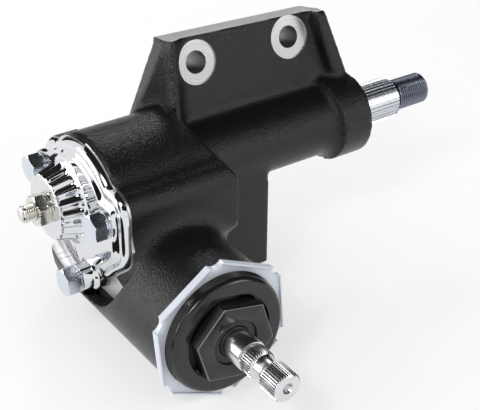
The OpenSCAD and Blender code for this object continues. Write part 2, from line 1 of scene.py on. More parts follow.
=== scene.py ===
"""Looks of a manual recirculating-ball steering gearbox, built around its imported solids.

New pieces are modelled in gear axes and in millimetres: the sector shaft lies along X, the worm
lies along Y below it, and Z is up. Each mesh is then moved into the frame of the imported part.
"""

from __future__ import annotations

import logging
import math
from dataclasses import dataclass, field
from enum import Enum
from typing import Callable, Iterable, Sequence

import bmesh
import bpy
from mathutils import Matrix, Vector

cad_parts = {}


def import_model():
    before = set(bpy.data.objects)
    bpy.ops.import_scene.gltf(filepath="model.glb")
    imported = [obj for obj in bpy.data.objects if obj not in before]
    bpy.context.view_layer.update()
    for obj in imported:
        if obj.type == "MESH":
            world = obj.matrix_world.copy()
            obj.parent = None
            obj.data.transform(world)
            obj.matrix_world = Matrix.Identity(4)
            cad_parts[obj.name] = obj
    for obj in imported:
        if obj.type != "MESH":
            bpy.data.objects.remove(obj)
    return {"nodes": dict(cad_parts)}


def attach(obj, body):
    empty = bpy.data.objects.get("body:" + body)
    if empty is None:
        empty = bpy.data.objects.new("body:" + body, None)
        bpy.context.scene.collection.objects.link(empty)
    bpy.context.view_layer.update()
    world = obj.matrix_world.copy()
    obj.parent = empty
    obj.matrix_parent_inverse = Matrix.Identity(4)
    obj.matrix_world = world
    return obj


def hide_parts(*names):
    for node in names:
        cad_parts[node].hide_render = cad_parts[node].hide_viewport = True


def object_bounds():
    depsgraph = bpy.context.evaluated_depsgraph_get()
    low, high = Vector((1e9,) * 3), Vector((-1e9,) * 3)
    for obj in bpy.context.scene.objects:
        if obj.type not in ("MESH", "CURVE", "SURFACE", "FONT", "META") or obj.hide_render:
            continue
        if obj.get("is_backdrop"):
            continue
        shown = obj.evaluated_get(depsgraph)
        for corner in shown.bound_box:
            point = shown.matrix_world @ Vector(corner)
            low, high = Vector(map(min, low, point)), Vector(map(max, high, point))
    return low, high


LOG = logging.getLogger("gearbox")
MM = 0.001
Triple = tuple[float, float, float]
Point = tuple[float, float]


class Body(Enum):
    """The moving groups of the gearbox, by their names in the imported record."""

    HOUSING = "housing"
    SECTOR = "sector"
    WORM = "worm"


class Slot(Enum):
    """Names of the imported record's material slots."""

    HOUSING = "housing_black"
    CHROME = "cover_chrome"
    ZINC = "zinc"
    STUD = "stud_steel"
    SHAFT = "shaft_steel"
    OXIDE = "black_oxide"


# Shader building


class Shader:
    """A node tree with short helpers for wiring it."""

    def __init__(self, tree: bpy.types.NodeTree) -> None:
        """Wraps a node tree.

        Args:
            tree: The tree of a material, a world or a node group.
        """
        self.tree = tree

    def node(self, kind: str, **values: object) -> bpy.types.Node:
        """Adds a node and sets its properties and input sockets by name.

        Args:
            kind: The node's type, without the ShaderNode prefix.
            values: Properties of the node, or numbers or sockets for its inputs.

        Returns:
            The new node.
        """
        made = self.tree.nodes.new("ShaderNode" + kind)
        for name, value in values.items():
            label = name.replace("_", " ")
            if isinstance(value, bpy.types.NodeSocket):
                self.link(value, made.inputs[label])
            elif hasattr(made, name):
                setattr(made, name, value)
            else:
                made.inputs[label].default_value = value
        return made

    def link(self, source: bpy.types.NodeSocket, target: bpy.types.NodeSocket) -> None:
        """Joins an output socket to an input socket."""
        self.tree.links.new(source, target)

    def math(self, operation: str, first: object, second: object = 0.0) -> bpy.types.NodeSocket:
        """Adds a math node.

        Args:
            operation: The operation's name.
            first: A socket or a number.
            second: A socket or a number.

        Returns:
            The node's output socket.
        """
        made = self.node("Math", operation=operation)
        for index, value in enumerate((first, second)):
            if isinstance(value, bpy.types.NodeSocket):
                self.link(value, made.inputs[index])
            else:
                made.inputs[index].default_value = value
        return made.outputs[0]

    def spread(self, value: bpy.types.NodeSocket, low: float, high: float) -> bpy.types.NodeSocket:
        """Maps a value from 0..1 to a range.

        Args:
            value: The socket to map.
            low: The result at 0.
            high: The result at 1.

        Returns:
            The mapped socket.
        """
        return self.node("MapRange", Value=value, To_Min=low, To_Max=high).outputs["Result"]


class Group(Shader):
    """A shader node group with a Vector input and named number sockets."""

    def __init__(self, name: str, inputs: dict[str, float], outputs: Iterable[str]) -> None:
        """Makes an empty group.

        Args:
            name: The group's name.
            inputs: Names and default values of its number inputs.
            outputs: Names of its number outputs.
        """
        super().__init__(bpy.data.node_groups.new(name, "ShaderNodeTree"))
        face = self.tree.interface
        face.new_socket("Vector", in_out="INPUT", socket_type="NodeSocketVector")
        for label, value in inputs.items():
            face.new_socket(label, in_out="INPUT", socket_type="NodeSocketFloat").default_value = value
        for label in outputs:
            face.new_socket(label, in_out="OUTPUT", socket_type="NodeSocketFloat")
        self.given = self.tree.nodes.new("NodeGroupInput").outputs
        self.result = self.tree.nodes.new("NodeGroupOutput").inputs


class Effects:
    """Shared surface effects, each built once as a node group."""

    def __init__(self) -> None:
        """Builds the groups."""
        self.grain = self._grain()
        self.smudge = self._smudge()
        self.turning = self._turning()

    @staticmethod
    def _grain() -> bpy.types.NodeTree:
        """Sand-cast surface: coarse lumps with fine grit on them.

        Returns:
            The group's tree.
        """
        group = Group("Cast grain", {"Scale": 600.0, "Grit": 0.5}, ["Height", "Speck"])
        where, scale = group.given["Vector"], group.given["Scale"]
        lumps = group.node("TexNoise", Vector=where, Scale=scale, Detail=3.0, Roughness=0.55)
        grit = group.node("TexVoronoi", feature="SMOOTH_F1", Vector=where, Smoothness=0.6,
                          Scale=group.math("MULTIPLY", scale, 1.7))
        part = group.math("MULTIPLY", grit.outputs["Distance"], group.given["Grit"])
        group.link(group.math("ADD", lumps.outputs["Fac"], part), group.result["Height"])
        group.link(grit.outputs["Distance"], group.result["Speck"])
        return group.tree

    @staticmethod
    def _smudge() -> bpy.types.NodeTree:
        """Handling marks: soft patches with a few finer streaks.

        Returns:
            The group's tree.
        """
        group = Group("Smudge", {"Scale": 60.0}, ["Patch", "Streak"])
        where, scale = group.given["Vector"], group.given["Scale"]
        patch = group.node("TexNoise", Vector=where, Scale=scale, Detail=4.0, Roughness=0.6)
        streak = group.node("TexNoise", Vector=where, Scale=group.math("MULTIPLY", scale, 6.0),
                            Detail=2.0, Distortion=1.5)
        group.link(patch.outputs["Fac"], group.result["Patch"])
        group.link(streak.outputs["Fac"], group.result["Streak"])
        return group.tree

    @staticmethod
    def _turning() -> bpy.types.NodeTree:
        """Lathe marks: fine uneven lines that follow the Vector's X.

        Returns:
            The group's tree.
        """
        group = Group("Turning", {"Pitch": 2500.0}, ["Height"])
        split = group.node("SeparateXYZ", Vector=group.given["Vector"])
        along = group.math("MULTIPLY", split.outputs["X"], group.given["Pitch"])
        lines = group.node("TexNoise", noise_dimensions="1D", W=along, Scale=1.0, Detail=2.0)
        group.link(lines.outputs["Fac"], group.result["Height"])
        return group.tree


class Coat(Shader):
    """A material in the making: its tree, its surface shader and the shared effects."""

    def __init__(self, name: str, effects: Effects) -> None:
        """Makes the material.

        Args:
            name: The material's name.
            effects: The shared node groups.
        """
        self.material = bpy.data.materials.new(name)
        self.material.use_nodes = True
        super().__init__(self.material.node_tree)
        self.effects = effects
        self.surface = self.tree.nodes["Principled BSDF"].inputs
        self.where = self.node("TexCoord").outputs["Object"]

    def use(self, tree: bpy.types.NodeTree, where: bpy.types.NodeSocket,
            **values: float) -> bpy.types.NodeOutputs:
        """Places a shared group.

        Args:
            tree: The group.
            where: The coordinates it reads.
            values: Its number inputs.

        Returns:
            The group's outputs.
        """
        return self.node("Group", node_tree=tree, Vector=where, **values).outputs

    def tint(self, colour: Triple, amount: bpy.types.NodeSocket, shades: Point) -> None:
        """Varies the base colour between two shares of itself.

        Args:
            colour: The colour.
            amount: A value from 0 to 1.
            shades: Shares of the colour at 0 and at 1.
        """
        mix = self.node("Mix", data_type="RGBA", Factor=amount)
        for socket, share in zip((mix.inputs["A"], mix.inputs["B"]), shades):
            socket.default_value = (*(min(1.0, c * share) for c in colour), 1.0)
        self.link(mix.outputs["Result"], self.surface["Base Color"])

    def relief(self, height: bpy.types.NodeSocket, depth: float) -> None:
        """Feeds a height into the surface's normal through a bump node.

        Args:
            height: The height socket.
            depth: The bump's depth in metres.
        """
        bump = self.node("Bump", Strength=1.0, Distance=depth, Height=height)
        self.link(bump.outputs["Normal"], self.surface["Normal"])


@dataclass(frozen=True)
class Pattern:
    """Sockets that change over a surface, by what they drive."""

    roughness: bpy.types.NodeSocket
    tint: bpy.types.NodeSocket
    relief: bpy.types.NodeSocket


@dataclass(frozen=True)
class Finish:
    """A surface finish with its numbers; the subclasses add their pattern."""

    name: str
    colour: Triple
    metallic: float
    roughness: Point
    bump: float
    gloss: float = field(default=0.5, kw_only=True)
    shades: Point = field(default=(0.8, 1.2), kw_only=True)

    def material(self, effects: Effects) -> bpy.types.Material:
        """Builds the finish as a material.

        Args:
            effects: The shared node groups.

        Returns:
            The material.
        """
        coat = Coat(self.name, effects)
        coat.surface["Base Color"].default_value = (*self.colour, 1.0)
        coat.surface["Metallic"].default_value = self.metallic
        coat.surface["Specular IOR Level"].default_value = self.gloss
        pattern = self.pattern(coat)
        coat.link(coat.spread(pattern.roughness, *self.roughness), coat.surface["Roughness"])
        coat.tint(self.colour, pattern.tint, self.shades)
        coat.relief(pattern.relief, self.bump)
        return coat.material

    def pattern(self, coat: Coat) -> Pattern:
        """Lays out what changes over the surface.

        Args:
            coat: The material in the making.

        Returns:
            The sockets that drive it.
        """
        raise NotImplementedError


@dataclass(frozen=True)
class CastPaint(Finish):
    """Semi-gloss paint over a sand casting: grain under soft patches of gloss."""

    grain_scale: float = 620.0
    grit: float = 0.45
    patch_scale: float = 26.0
    shades: Point = field(default=(0.8, 1.5), kw_only=True)

    def pattern(self, coat: Coat) -> Pattern:
        """Puts grain into the relief and patches into the gloss."""
        grain = coat.use(coat.effects.grain, coat.where, Scale=self.grain_scale, Grit=self.grit)
        patch = coat.use(coat.effects.smudge, coat.where, Scale=self.patch_scale)["Patch"]
        return Pattern(patch, grain["Speck"], grain["Height"])


@dataclass(frozen=True)
class Plated(Finish):
    """Plated or polished metal with handling marks."""

    mark_scale: float = 60.0
    shades: Point = field(default=(0.9, 1.06), kw_only=True)

    def pattern(self, coat: Coat) -> Pattern:
        """Puts smudges into the gloss, the tint and a slight ripple."""
        marks = coat.use(coat.effects.smudge, coat.where, Scale=self.mark_scale)
        return Pattern(marks["Streak"], marks["Patch"], marks["Patch"])


@dataclass(frozen=True)
class Turned(Finish):
    """Metal turned or ground round an axis, with the marks' lines along it."""

    turn: Triple = (0.0, 0.0, 0.0)
    pitch: float = 2500.0
    mark_scale: float = 90.0
    shades: Point = field(default=(0.88, 1.06), kw_only=True)

    def pattern(self, coat: Coat) -> Pattern:
        """Puts lathe marks into the gloss and the relief."""
        turned = coat.node("Mapping", Rotation=self.turn, Vector=coat.where).outputs["Vector"]
        lines = coat.use(coat.effects.turning, turned, Pitch=self.pitch)["Height"]
        marks = coat.use(coat.effects.smudge, coat.where, Scale=self.mark_scale)
        return Pattern(lines, marks["Patch"], lines)


@dataclass(frozen=True)
class Spot(Finish):
    """Metal faced by a turning cutter, with rings round each frame-bolt hole."""

    hole_pitch: float = 0.0635
    lines: float = 1500.0
    shades: Point = field(default=(0.55, 1.3), kw_only=True)

    def pattern(self, coat: Coat) -> Pattern:
        """Puts rings that repeat at the holes' pitch into everything."""
        split = coat.node("SeparateXYZ", Vector=coat.where).outputs
        half = self.hole_pitch / 2
        moved = coat.math("FLOORED_MODULO", coat.math("ADD", split["X"], half), self.hole_pitch)
        near = coat.node("CombineXYZ", X=coat.math("SUBTRACT", moved, half), Z=split["Z"])
        reach = coat.node("VectorMath", operation="LENGTH")
        coat.link(near.outputs[0], reach.inputs[0])
        rings = coat.node("CombineXYZ", X=reach.outputs["Value"]).outputs[0]
        marks = coat.use(coat.effects.turning, rings, Pitch=self.lines)["Height"]
        return Pattern(marks, marks, marks)


@dataclass(frozen=True)
class Rubber(Finish):
    """Moulded rubber or gasket board."""

    grain_scale: float = 1500.0
    grit: float = 0.3

    def pattern(self, coat: Coat) -> Pattern:
        """Puts a fine grain into everything."""
        grain = coat.use(coat.effects.grain, coat.where, Scale=self.grain_scale, Grit=self.grit)
        return Pattern(grain["Speck"], grain["Speck"], grain["Height"])


ABOUT_Y = (0.0, 0.0, -math.pi / 2)


class Look(Enum):
    """Every finish of the gearbox."""

    CAST = CastPaint("Cast paint", (0.006, 0.006, 0.0065), 0.0, (0.17, 0.34), 0.00042, 900.0, gloss=0.36)
    CHROME = Plated("Polished cover", (0.74, 0.75, 0.77), 1.0, (0.03, 0.09), 0.00002, 45.0)
    ZINC = Plated("Bright zinc", (0.70, 0.74, 0.81), 1.0, (0.18, 0.32), 0.00002, 120.0)
    STUD = Plated("Stud steel", (0.74, 0.725, 0.67), 1.0, (0.16, 0.3), 0.00002, 160.0)
    SECTOR = Turned("Sector steel", (0.68, 0.70, 0.73), 1.0, (0.16, 0.34), 0.00001)
    INPUT = Turned("Input steel", (0.74, 0.74, 0.76), 1.0, (0.14, 0.32), 0.00001, ABOUT_Y)
    OXIDE = Turned("Black oxide", (0.010, 0.010, 0.011), 0.0, (0.12, 0.26), 0.00001, ABOUT_Y)
    # The hexagon's edge band: lighter metal all round, partly worn oxide and partly a painted highlight.
    WORN = Plated("Worn edge", (0.20, 0.20, 0.21), 1.0, (0.10, 0.2), 0.00001, 200.0)
    RING = Plated("Ring zinc", (0.70, 0.74, 0.81), 0.3, (0.34, 0.5), 0.00002, 120.0)
    INNER = Plated("Inner steel", (0.55, 0.56, 0.58), 1.0, (0.2, 0.4), 0.00001, 90.0)
    BRONZE = Plated("Bronze", (0.62, 0.43, 0.20), 1.0, (0.25, 0.4), 0.00001, 120.0)
    MILLED = Plated("Milled iron", (0.62, 0.62, 0.62), 1.0, (0.28, 0.45), 0.00002, 220.0)
    SPOT = Spot("Spot face", (0.52, 0.53, 0.54), 1.0, (0.22, 0.40), 0.00003)
    SAWN = Turned("Sawn edge", (0.44, 0.44, 0.44), 0.2, (0.34, 0.55), 0.00006, pitch=900.0)
    # Bored iron is darker than the milled iron: painted shade for bores, holes and spline roots.
    BORE = Turned("Bored iron", (0.16, 0.16, 0.165), 1.0, (0.35, 0.5), 0.00001)
    BLUED = Turned("Blued thread", (0.20, 0.22, 0.27), 1.0, (0.20, 0.34), 0.00001)
    RUBBER = Rubber("Seal rubber", (0.02, 0.02, 0.021), 0.0, (0.45, 0.65), 0.00005)
    GASKET = Rubber("Gasket board", (0.40, 0.39, 0.36), 0.0, (0.6, 0.8), 0.00005)


NODES_BY_LOOK = {
    Look.CAST: ("gear_housing",),
    Look.CHROME: ("side_cover",),
    Look.GASKET: ("cover_gasket",),
    Look.ZINC: ("cover_bolts", "cover_washers"),
    Look.STUD: ("lash_screw", "lash_lock_nut"),
    Look.SECTOR: ("sector_shaft",),
    Look.INPUT: ("worm_shaft",),
    Look.OXIDE: ("adjuster_plug",),
    Look.RING: ("lock_ring",),
    Look.RUBBER: ("sector_seal", "worm_seal"),
    Look.BRONZE: ("housing_bushes", "cover_bush", "upper_cage", "lower_cage"),
    Look.INNER: ("lash_shim", "ball_nut", "nut_balls", "ball_guides", "guide_clamp", "clamp_screws",
                 "upper_cup", "upper_balls", "lower_cup", "lower_balls"),
}


class Palette:
    """The material of every finish, made once."""

    def __init__(self) -> None:
        """Builds the materials."""
        effects = Effects()
        self.materials = {look: look.value.material(effects) for look in Look}

    def __getitem__(self, look: Look) -> bpy.types.Material:
        """Returns a finish's material."""
        return self.materials[look]

    def dress(self, nodes: dict[str, bpy.types.Object]) -> None:
        """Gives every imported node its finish.

        Args:
            nodes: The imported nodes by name.
        """
        for look, names in NODES_BY_LOOK.items():
            for name in names:
                slots = nodes[name].material_slots
                for slot in slots:
                    slot.material = self[look]
                if not slots:
                    nodes[name].data.materials.append(self[look])


# Shapes, in gear axes and millimetres


AXIS_GAP = 38.1
SECTOR_AXIS = Vector((0.0, 0.0, 0.0))
WORM_AXIS = Vector((0.0, 0.0, -AXIS_GAP))
ALONG_X = Vector((1.0, 0.0, 0.0))
ALONG_Y = Vector((0.0, 1.0, 0.0))
UP = Vector((0.0, 0.0, 1.0))
GEAR_ORIGIN = Vector((-0.0584, -0.0341571, -0.0463384))
PLATE_TILT = math.radians(15.0)
SHARP = math.radians(34.0)
THREAD_STEPS = 56
POINTS_PER_TURN = 10


def polar(point: Vector, origin: Vector, axis: Vector) -> tuple[float, Vector, float]:
    """Splits a point into its place along an axis and round it.

    Args:
        point: The point.
        origin: A point on the axis.
        axis: The axis' direction.

    Returns:
        Its station, its way out from the axis and its angle from up.
    """
    out = point - origin
    station = out.dot(axis)
    out -= axis * station
    return station, out, math.atan2(out.dot(axis.cross(UP)), out.dot(UP))


def on_circle(middle: Point, radius: float, angle: float) -> Point:
    """Returns the point of a circle on Y and Z at an angle from Y."""
    return middle[0] + radius * math.cos(angle), middle[1] + radius * math.sin(angle)


def clamp(value: float) -> float:
    """Returns a value kept between 0 and 1."""
    return min(1.0, max(0.0, value))


def spin(shape: bmesh.types.BMesh, profile: Sequence[Point], origin: Vector, axis: Vector,
         steps: int, closed: bool = False, finish: int = 0) -> list[bmesh.types.BMVert]:
    """Spins a profile of (station, radius) points round an axis.

    Args:
        shape: The mesh to add to.
        profile: Stations along the axis with their radii.
        origin: A point on the axis.
        axis: The axis' direction.
        steps: Facets round the axis.
        closed: Joins the last point to the first.
        finish: Material index of the new faces.

    Returns:
        The new vertices.
    """
    before = set(shape.verts)
    old_faces = set(shape.faces)
    line = [shape.verts.new(origin + axis * x + UP * r) for x, r in profile]
    pairs = list(zip(line, line[1:])) + ([(line[-1], line[0])] if closed else [])
    edges = [shape.edges.new(pair) for pair in pairs]
    bmesh.ops.spin(shape, geom=line + edges, cent=origin, axis=axis, angle=math.tau,
                   steps=steps, use_merge=True)
    made = [v for v in shape.verts if v not in before]
    bmesh.ops.remove_doubles(shape, verts=made, dist=1e-5)
    for face in shape.faces:
        if face not in old_faces:
            face.material_index = finish
    return [v for v in shape.verts if v not in before]


def tube(shape: bmesh.types.BMesh, rings: int, axis: Vector,
         steps: int) -> list[tuple[bmesh.types.BMVert, int]]:
    """Adds a closed tube of plain rings, whose points are then put in their places.

    Args:
        shape: The mesh to add to.
        rings: How many rings it has.
        axis: The axis' direction.
        steps: Facets round the axis.

    Returns:
        Each new vertex with the number of its ring.
    """
    line = [(float(i), 1.0) for i in range(rings)]
    return [(v, round(v.co.dot(axis))) for v in spin(shape, line, Vector(), axis, steps, closed=True)]


def paint(made: dict[str, list[bmesh.types.BMVert]], finish: int) -> None:
    """Gives the faces of a new shape their material index.

    Args:
        made: What the operator that made the shape returned.
        finish: The material index.
    """
    for face in {f for v in made["verts"] for f in v.link_faces}:
        face.material_index = finish


def rod(shape: bmesh.types.BMesh, start: Vector, axis: Vector, length: float, radius: float,
        finish: int = 0, steps: int = 96) -> None:
    """Adds a closed cylinder.

    Args:
        shape: The mesh to add to.
        start: Centre of its first end.
        axis: Its direction.
        length: Its length.
        radius: Its radius.
        finish: Material index of its faces.
        steps: Facets round it.
    """
    turn = UP.rotation_difference(axis).to_matrix().to_4x4()
    place = Matrix.Translation(start + axis * length / 2) @ turn
    paint(bmesh.ops.create_cone(shape, cap_ends=True, segments=steps, radius1=radius,
                                radius2=radius, depth=length, matrix=place), finish)


def block(shape: bmesh.types.BMesh, low: Vector, high: Vector, finish: int = 0,
          turn: Matrix | None = None) -> None:
    """Adds a box between two corners.

    Args:
        shape: The mesh to add to.
        low: Its lowest corner.
        high: Its highest corner.
        finish: Material index of its faces.
        turn: Its place and turn in the gear axes.
    """
    place = Matrix.Translation((low + high) / 2) @ Matrix.Diagonal((*(high - low), 1.0))
    paint(bmesh.ops.create_cube(shape, size=1.0, matrix=(turn or Matrix()) @ place), finish)


def prism(shape: bmesh.types.BMesh, outline: Sequence[Point], span: Point, finish: int = 0) -> None:
    """Makes an empty mesh a closed prism along X over an outline on Y and Z.

    Args:
        shape: The empty mesh.
        outline: The outline's points.
        span: First and last station.
        finish: Material index of its faces.
    """
    base = shape.faces.new([shape.verts.new((span[0], y, z)) for y, z in outline])
    made = bmesh.ops.extrude_face_region(shape, geom=[base], use_keep_orig=True)["geom"]
    top = [v for v in made if isinstance(v, bmesh.types.BMVert)]
    bmesh.ops.translate(shape, verts=top, vec=(span[1] - span[0], 0.0, 0.0))
    bmesh.ops.recalc_face_normals(shape, faces=shape.faces)
    for face in shape.faces:
        face.material_index = finish


def solid(build: Callable[..., None], *sizes: object) -> bmesh.types.BMesh:
    """Returns a new mesh that holds one built shape.

    Args:
        build: The function that adds the shape.
        sizes: What it takes after the mesh.

    Returns:
        The mesh.
    """
    shape = bmesh.new()
    build(shape, *sizes)
    return shape


def cut_off(shape: bmesh.types.BMesh, place: Vector, way: Vector) -> None:
    """Cuts away what lies past a plane and closes the cut.

    Args:
        shape: The mesh to cut.
        place: A point on the plane.
        way: The way to the side that is cut away.
    """
    cut = bmesh.ops.bisect_plane(shape, geom=[*shape.verts, *shape.edges, *shape.faces],
                                 plane_co=place, plane_no=way, clear_outer=True)
    rim = [e for e in cut["geom_cut"] if isinstance(e, bmesh.types.BMEdge)]
    bmesh.ops.holes_fill(shape, edges=rim)


def smooth(shape: bmesh.types.BMesh, verts: Sequence[bmesh.types.BMVert], rounds: int) -> None:
    """Evens out vertices between their neighbours.

    Args:
        shape: The mesh.
        verts: Its vertices to move.
        rounds: How often.
    """
    for _ in range(rounds):
        bmesh.ops.smooth_vert(shape, verts=verts, factor=0.5,
                              use_axis_x=True, use_axis_y=True, use_axis_z=True)


def hex_reach(angle: float, corner: float, turn: float) -> float:
    """Distance from a hexagon's middle to its edge.

    Args:
        angle: The ray's angle.
        corner: Distance to the corners.
        turn: Angle of one corner.

    Returns:
        The distance.
    """
    local = (angle - turn) % (math.pi / 3) - math.pi / 6
    return corner * math.cos(math.pi / 6) / math.cos(local)


def ringed(shape: bmesh.types.BMesh, rings: Sequence[Triple], origin: Vector, axis: Vector,
           turn: float, steps: int) -> None:
    """Adds a closed tube of rings, each the smaller of a round and a hexagon.

    Args:
        shape: The mesh to add to.
        rings: Station, radius and hexagon corner radius of each ring; a corner of 0 means round.
        origin: A point on the axis.
        axis: The axis' direction.
        turn: Angle of one hexagon corner from up.
        steps: Facets round the axis.
    """
    for vert, ring in tube(shape, len(rings), axis, steps):
        station, radius, corner = rings[ring]
        _, out, angle = polar(vert.co, Vector(), axis)
        reach = min(radius, hex_reach(angle, corner, turn)) if corner else radius
        vert.co = origin + axis * station + out.normalized() * reach


def thread_wave(turns: float) -> float:
    """Height of a rounded V thread, from 0 at its root to 1 at its crest."""
    part = abs((turns % 1.0) * 2.0 - 1.0)
    return clamp(part * 1.25 - 0.12)


@dataclass(frozen=True)
class Thread:
    """A helical thread along an axis."""

    span: Point
    radius: float
    depth: float
    pitch: float

    def stations(self, per_turn: int) -> list[float]:
        """Lays even stations along the thread.

        Args:
            per_turn: How many lie in each turn.

        Returns:
            The stations.
        """
        first, last = self.span
        count = int((last - first) / self.pitch * per_turn)
        return [first + (last - first) * i / count for i in range(count + 1)]

    def reach(self, station: float, angle: float) -> float:
        """Returns the thread's radius at a station and an angle."""
        wave = thread_wave(station / self.pitch - angle / math.tau)
        return self.radius - self.depth * (1.0 - wave)

    def rod(self, shape: bmesh.types.BMesh, axis: Vector, before: Sequence[Point],
            after: Sequence[Point], finish: int = 0) -> None:
        """Adds a closed rod through the origin with this thread, which fades at its ends.

        Args:
            shape: The mesh to add to.
            axis: The axis' direction.
            before: Profile before the thread.
            after: Profile after the thread.
            finish: Material index of the faces.
        """
        first, last = self.span
        body = [(x, self.radius) for x in self.stations(POINTS_PER_TURN)]
        for vert in spin(shape, [*before, *body, *after], Vector(), axis, THREAD_STEPS, finish=finish):
            station, out, angle = polar(vert.co, Vector(), axis)
            fade = min(1.0, (station - first) / self.pitch, (last - station) / self.pitch)
            if fade > 0.0:
                dip = (self.radius - self.reach(station, angle)) * fade
                vert.co = axis * station + out.normalized() * (self.radius - dip)


# Objects


def held(name: str, shape: bmesh.types.BMesh) -> bpy.types.Object:
    """Puts a mesh into the scene.

    Args:
        name: Name of the object and its mesh.
        shape: The mesh; it is freed.

    Returns:
        The object.
    """
    mesh = bpy.data.meshes.new(name)
    shape.to_mesh(mesh)
    shape.free()
    made = bpy.data.objects.new(name, mesh)
    bpy.context.scene.collection.objects.link(made)
    return made


def applied(holder: bpy.types.Object) -> bmesh.types.BMesh:
    """Applies an object's modifiers.

    Args:
        holder: The object, which stays as it is.

    Returns:
        Its mesh with the modifiers applied.
    """
    bpy.context.view_layer.update()
    ready = holder.evaluated_get(bpy.context.evaluated_depsgraph_get())
    shape = bmesh.new()
    shape.from_mesh(ready.to_mesh())
    ready.to_mesh_clear()
    return shape


def copied(node: bpy.types.Object) -> bmesh.types.BMesh:
    """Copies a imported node's mesh with its corners merged.

    Args:
        node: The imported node.

    Returns:
        The copy in gear axes and millimetres.
    """
    shape = bmesh.new()
    shape.from_mesh(node.data)
    bmesh.ops.translate(shape, verts=shape.verts, vec=-GEAR_ORIGIN)
    bmesh.ops.scale(shape, verts=shape.verts, vec=(1 / MM,) * 3)
    bmesh.ops.remove_doubles(shape, verts=shape.verts, dist=1e-4)
    for face in shape.faces:
        face.material_index = 0
    return shape


@dataclass(frozen=True)
class Workshop:
    """Turns meshes in gear axes into finished pieces of the scene."""

    palette: Palette

    def piece(self, name: str, shape: bmesh.types.BMesh, body: Body,
              looks: Sequence[Look], replaced: str) -> None:
        """Makes a finished piece that rides on a body.

        Args:
            name: The piece's name.
            shape: Its closed mesh in gear axes; it is freed.
            body: The body it moves with.
            looks: Its finishes, by material index.
            replaced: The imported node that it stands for.
        """
        bmesh.ops.recalc_face_normals(shape, faces=shape.faces)
        for face in shape.faces:
            face.smooth = True
        for edge in shape.edges:
            edge.smooth = len(edge.link_faces) == 2 and edge.calc_face_angle(0.0) < SHARP
        bmesh.ops.scale(shape, verts=shape.verts, vec=(MM,) * 3)
        bmesh.ops.translate(shape, verts=shape.verts, vec=GEAR_ORIGIN)
        made = held(name, shape)
        for look in looks:
            made.data.materials.append(self.palette[look])
        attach(made, body.value)
        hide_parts(replaced)
        LOG.info("%s: %d faces", name, len(made.data.polygons))


# Side cover


@dataclass(frozen=True)
class Round:
    """A circle on Y and Z."""

    y: float
    z: float
    r: float

    def reach(self, mid: Point, angle: float, grow: float) -> float:
        """Distance from a point to the circle's far side.

        Args:
            mid: Where the ray starts.
            angle: The ray's angle.
            grow: Added to the radius.

        Returns:
            The distance, or 0 where the ray misses.
        """
        dy, dz = self.y - mid[0], self.z - mid[1]
        along = dy * math.cos(angle) + dz * math.sin(angle)
        square = max(self.r + grow, 0.5) ** 2 - (dy * dy + dz * dz) + along * along
        return along + math.sqrt(square) if square > 0.0 else 0.0


class Ring(Enum):
    """How the points of one of the cover's rings are placed."""

    OUTLINE = "outline"
    ROUND = "round"
    BOSS = "boss"


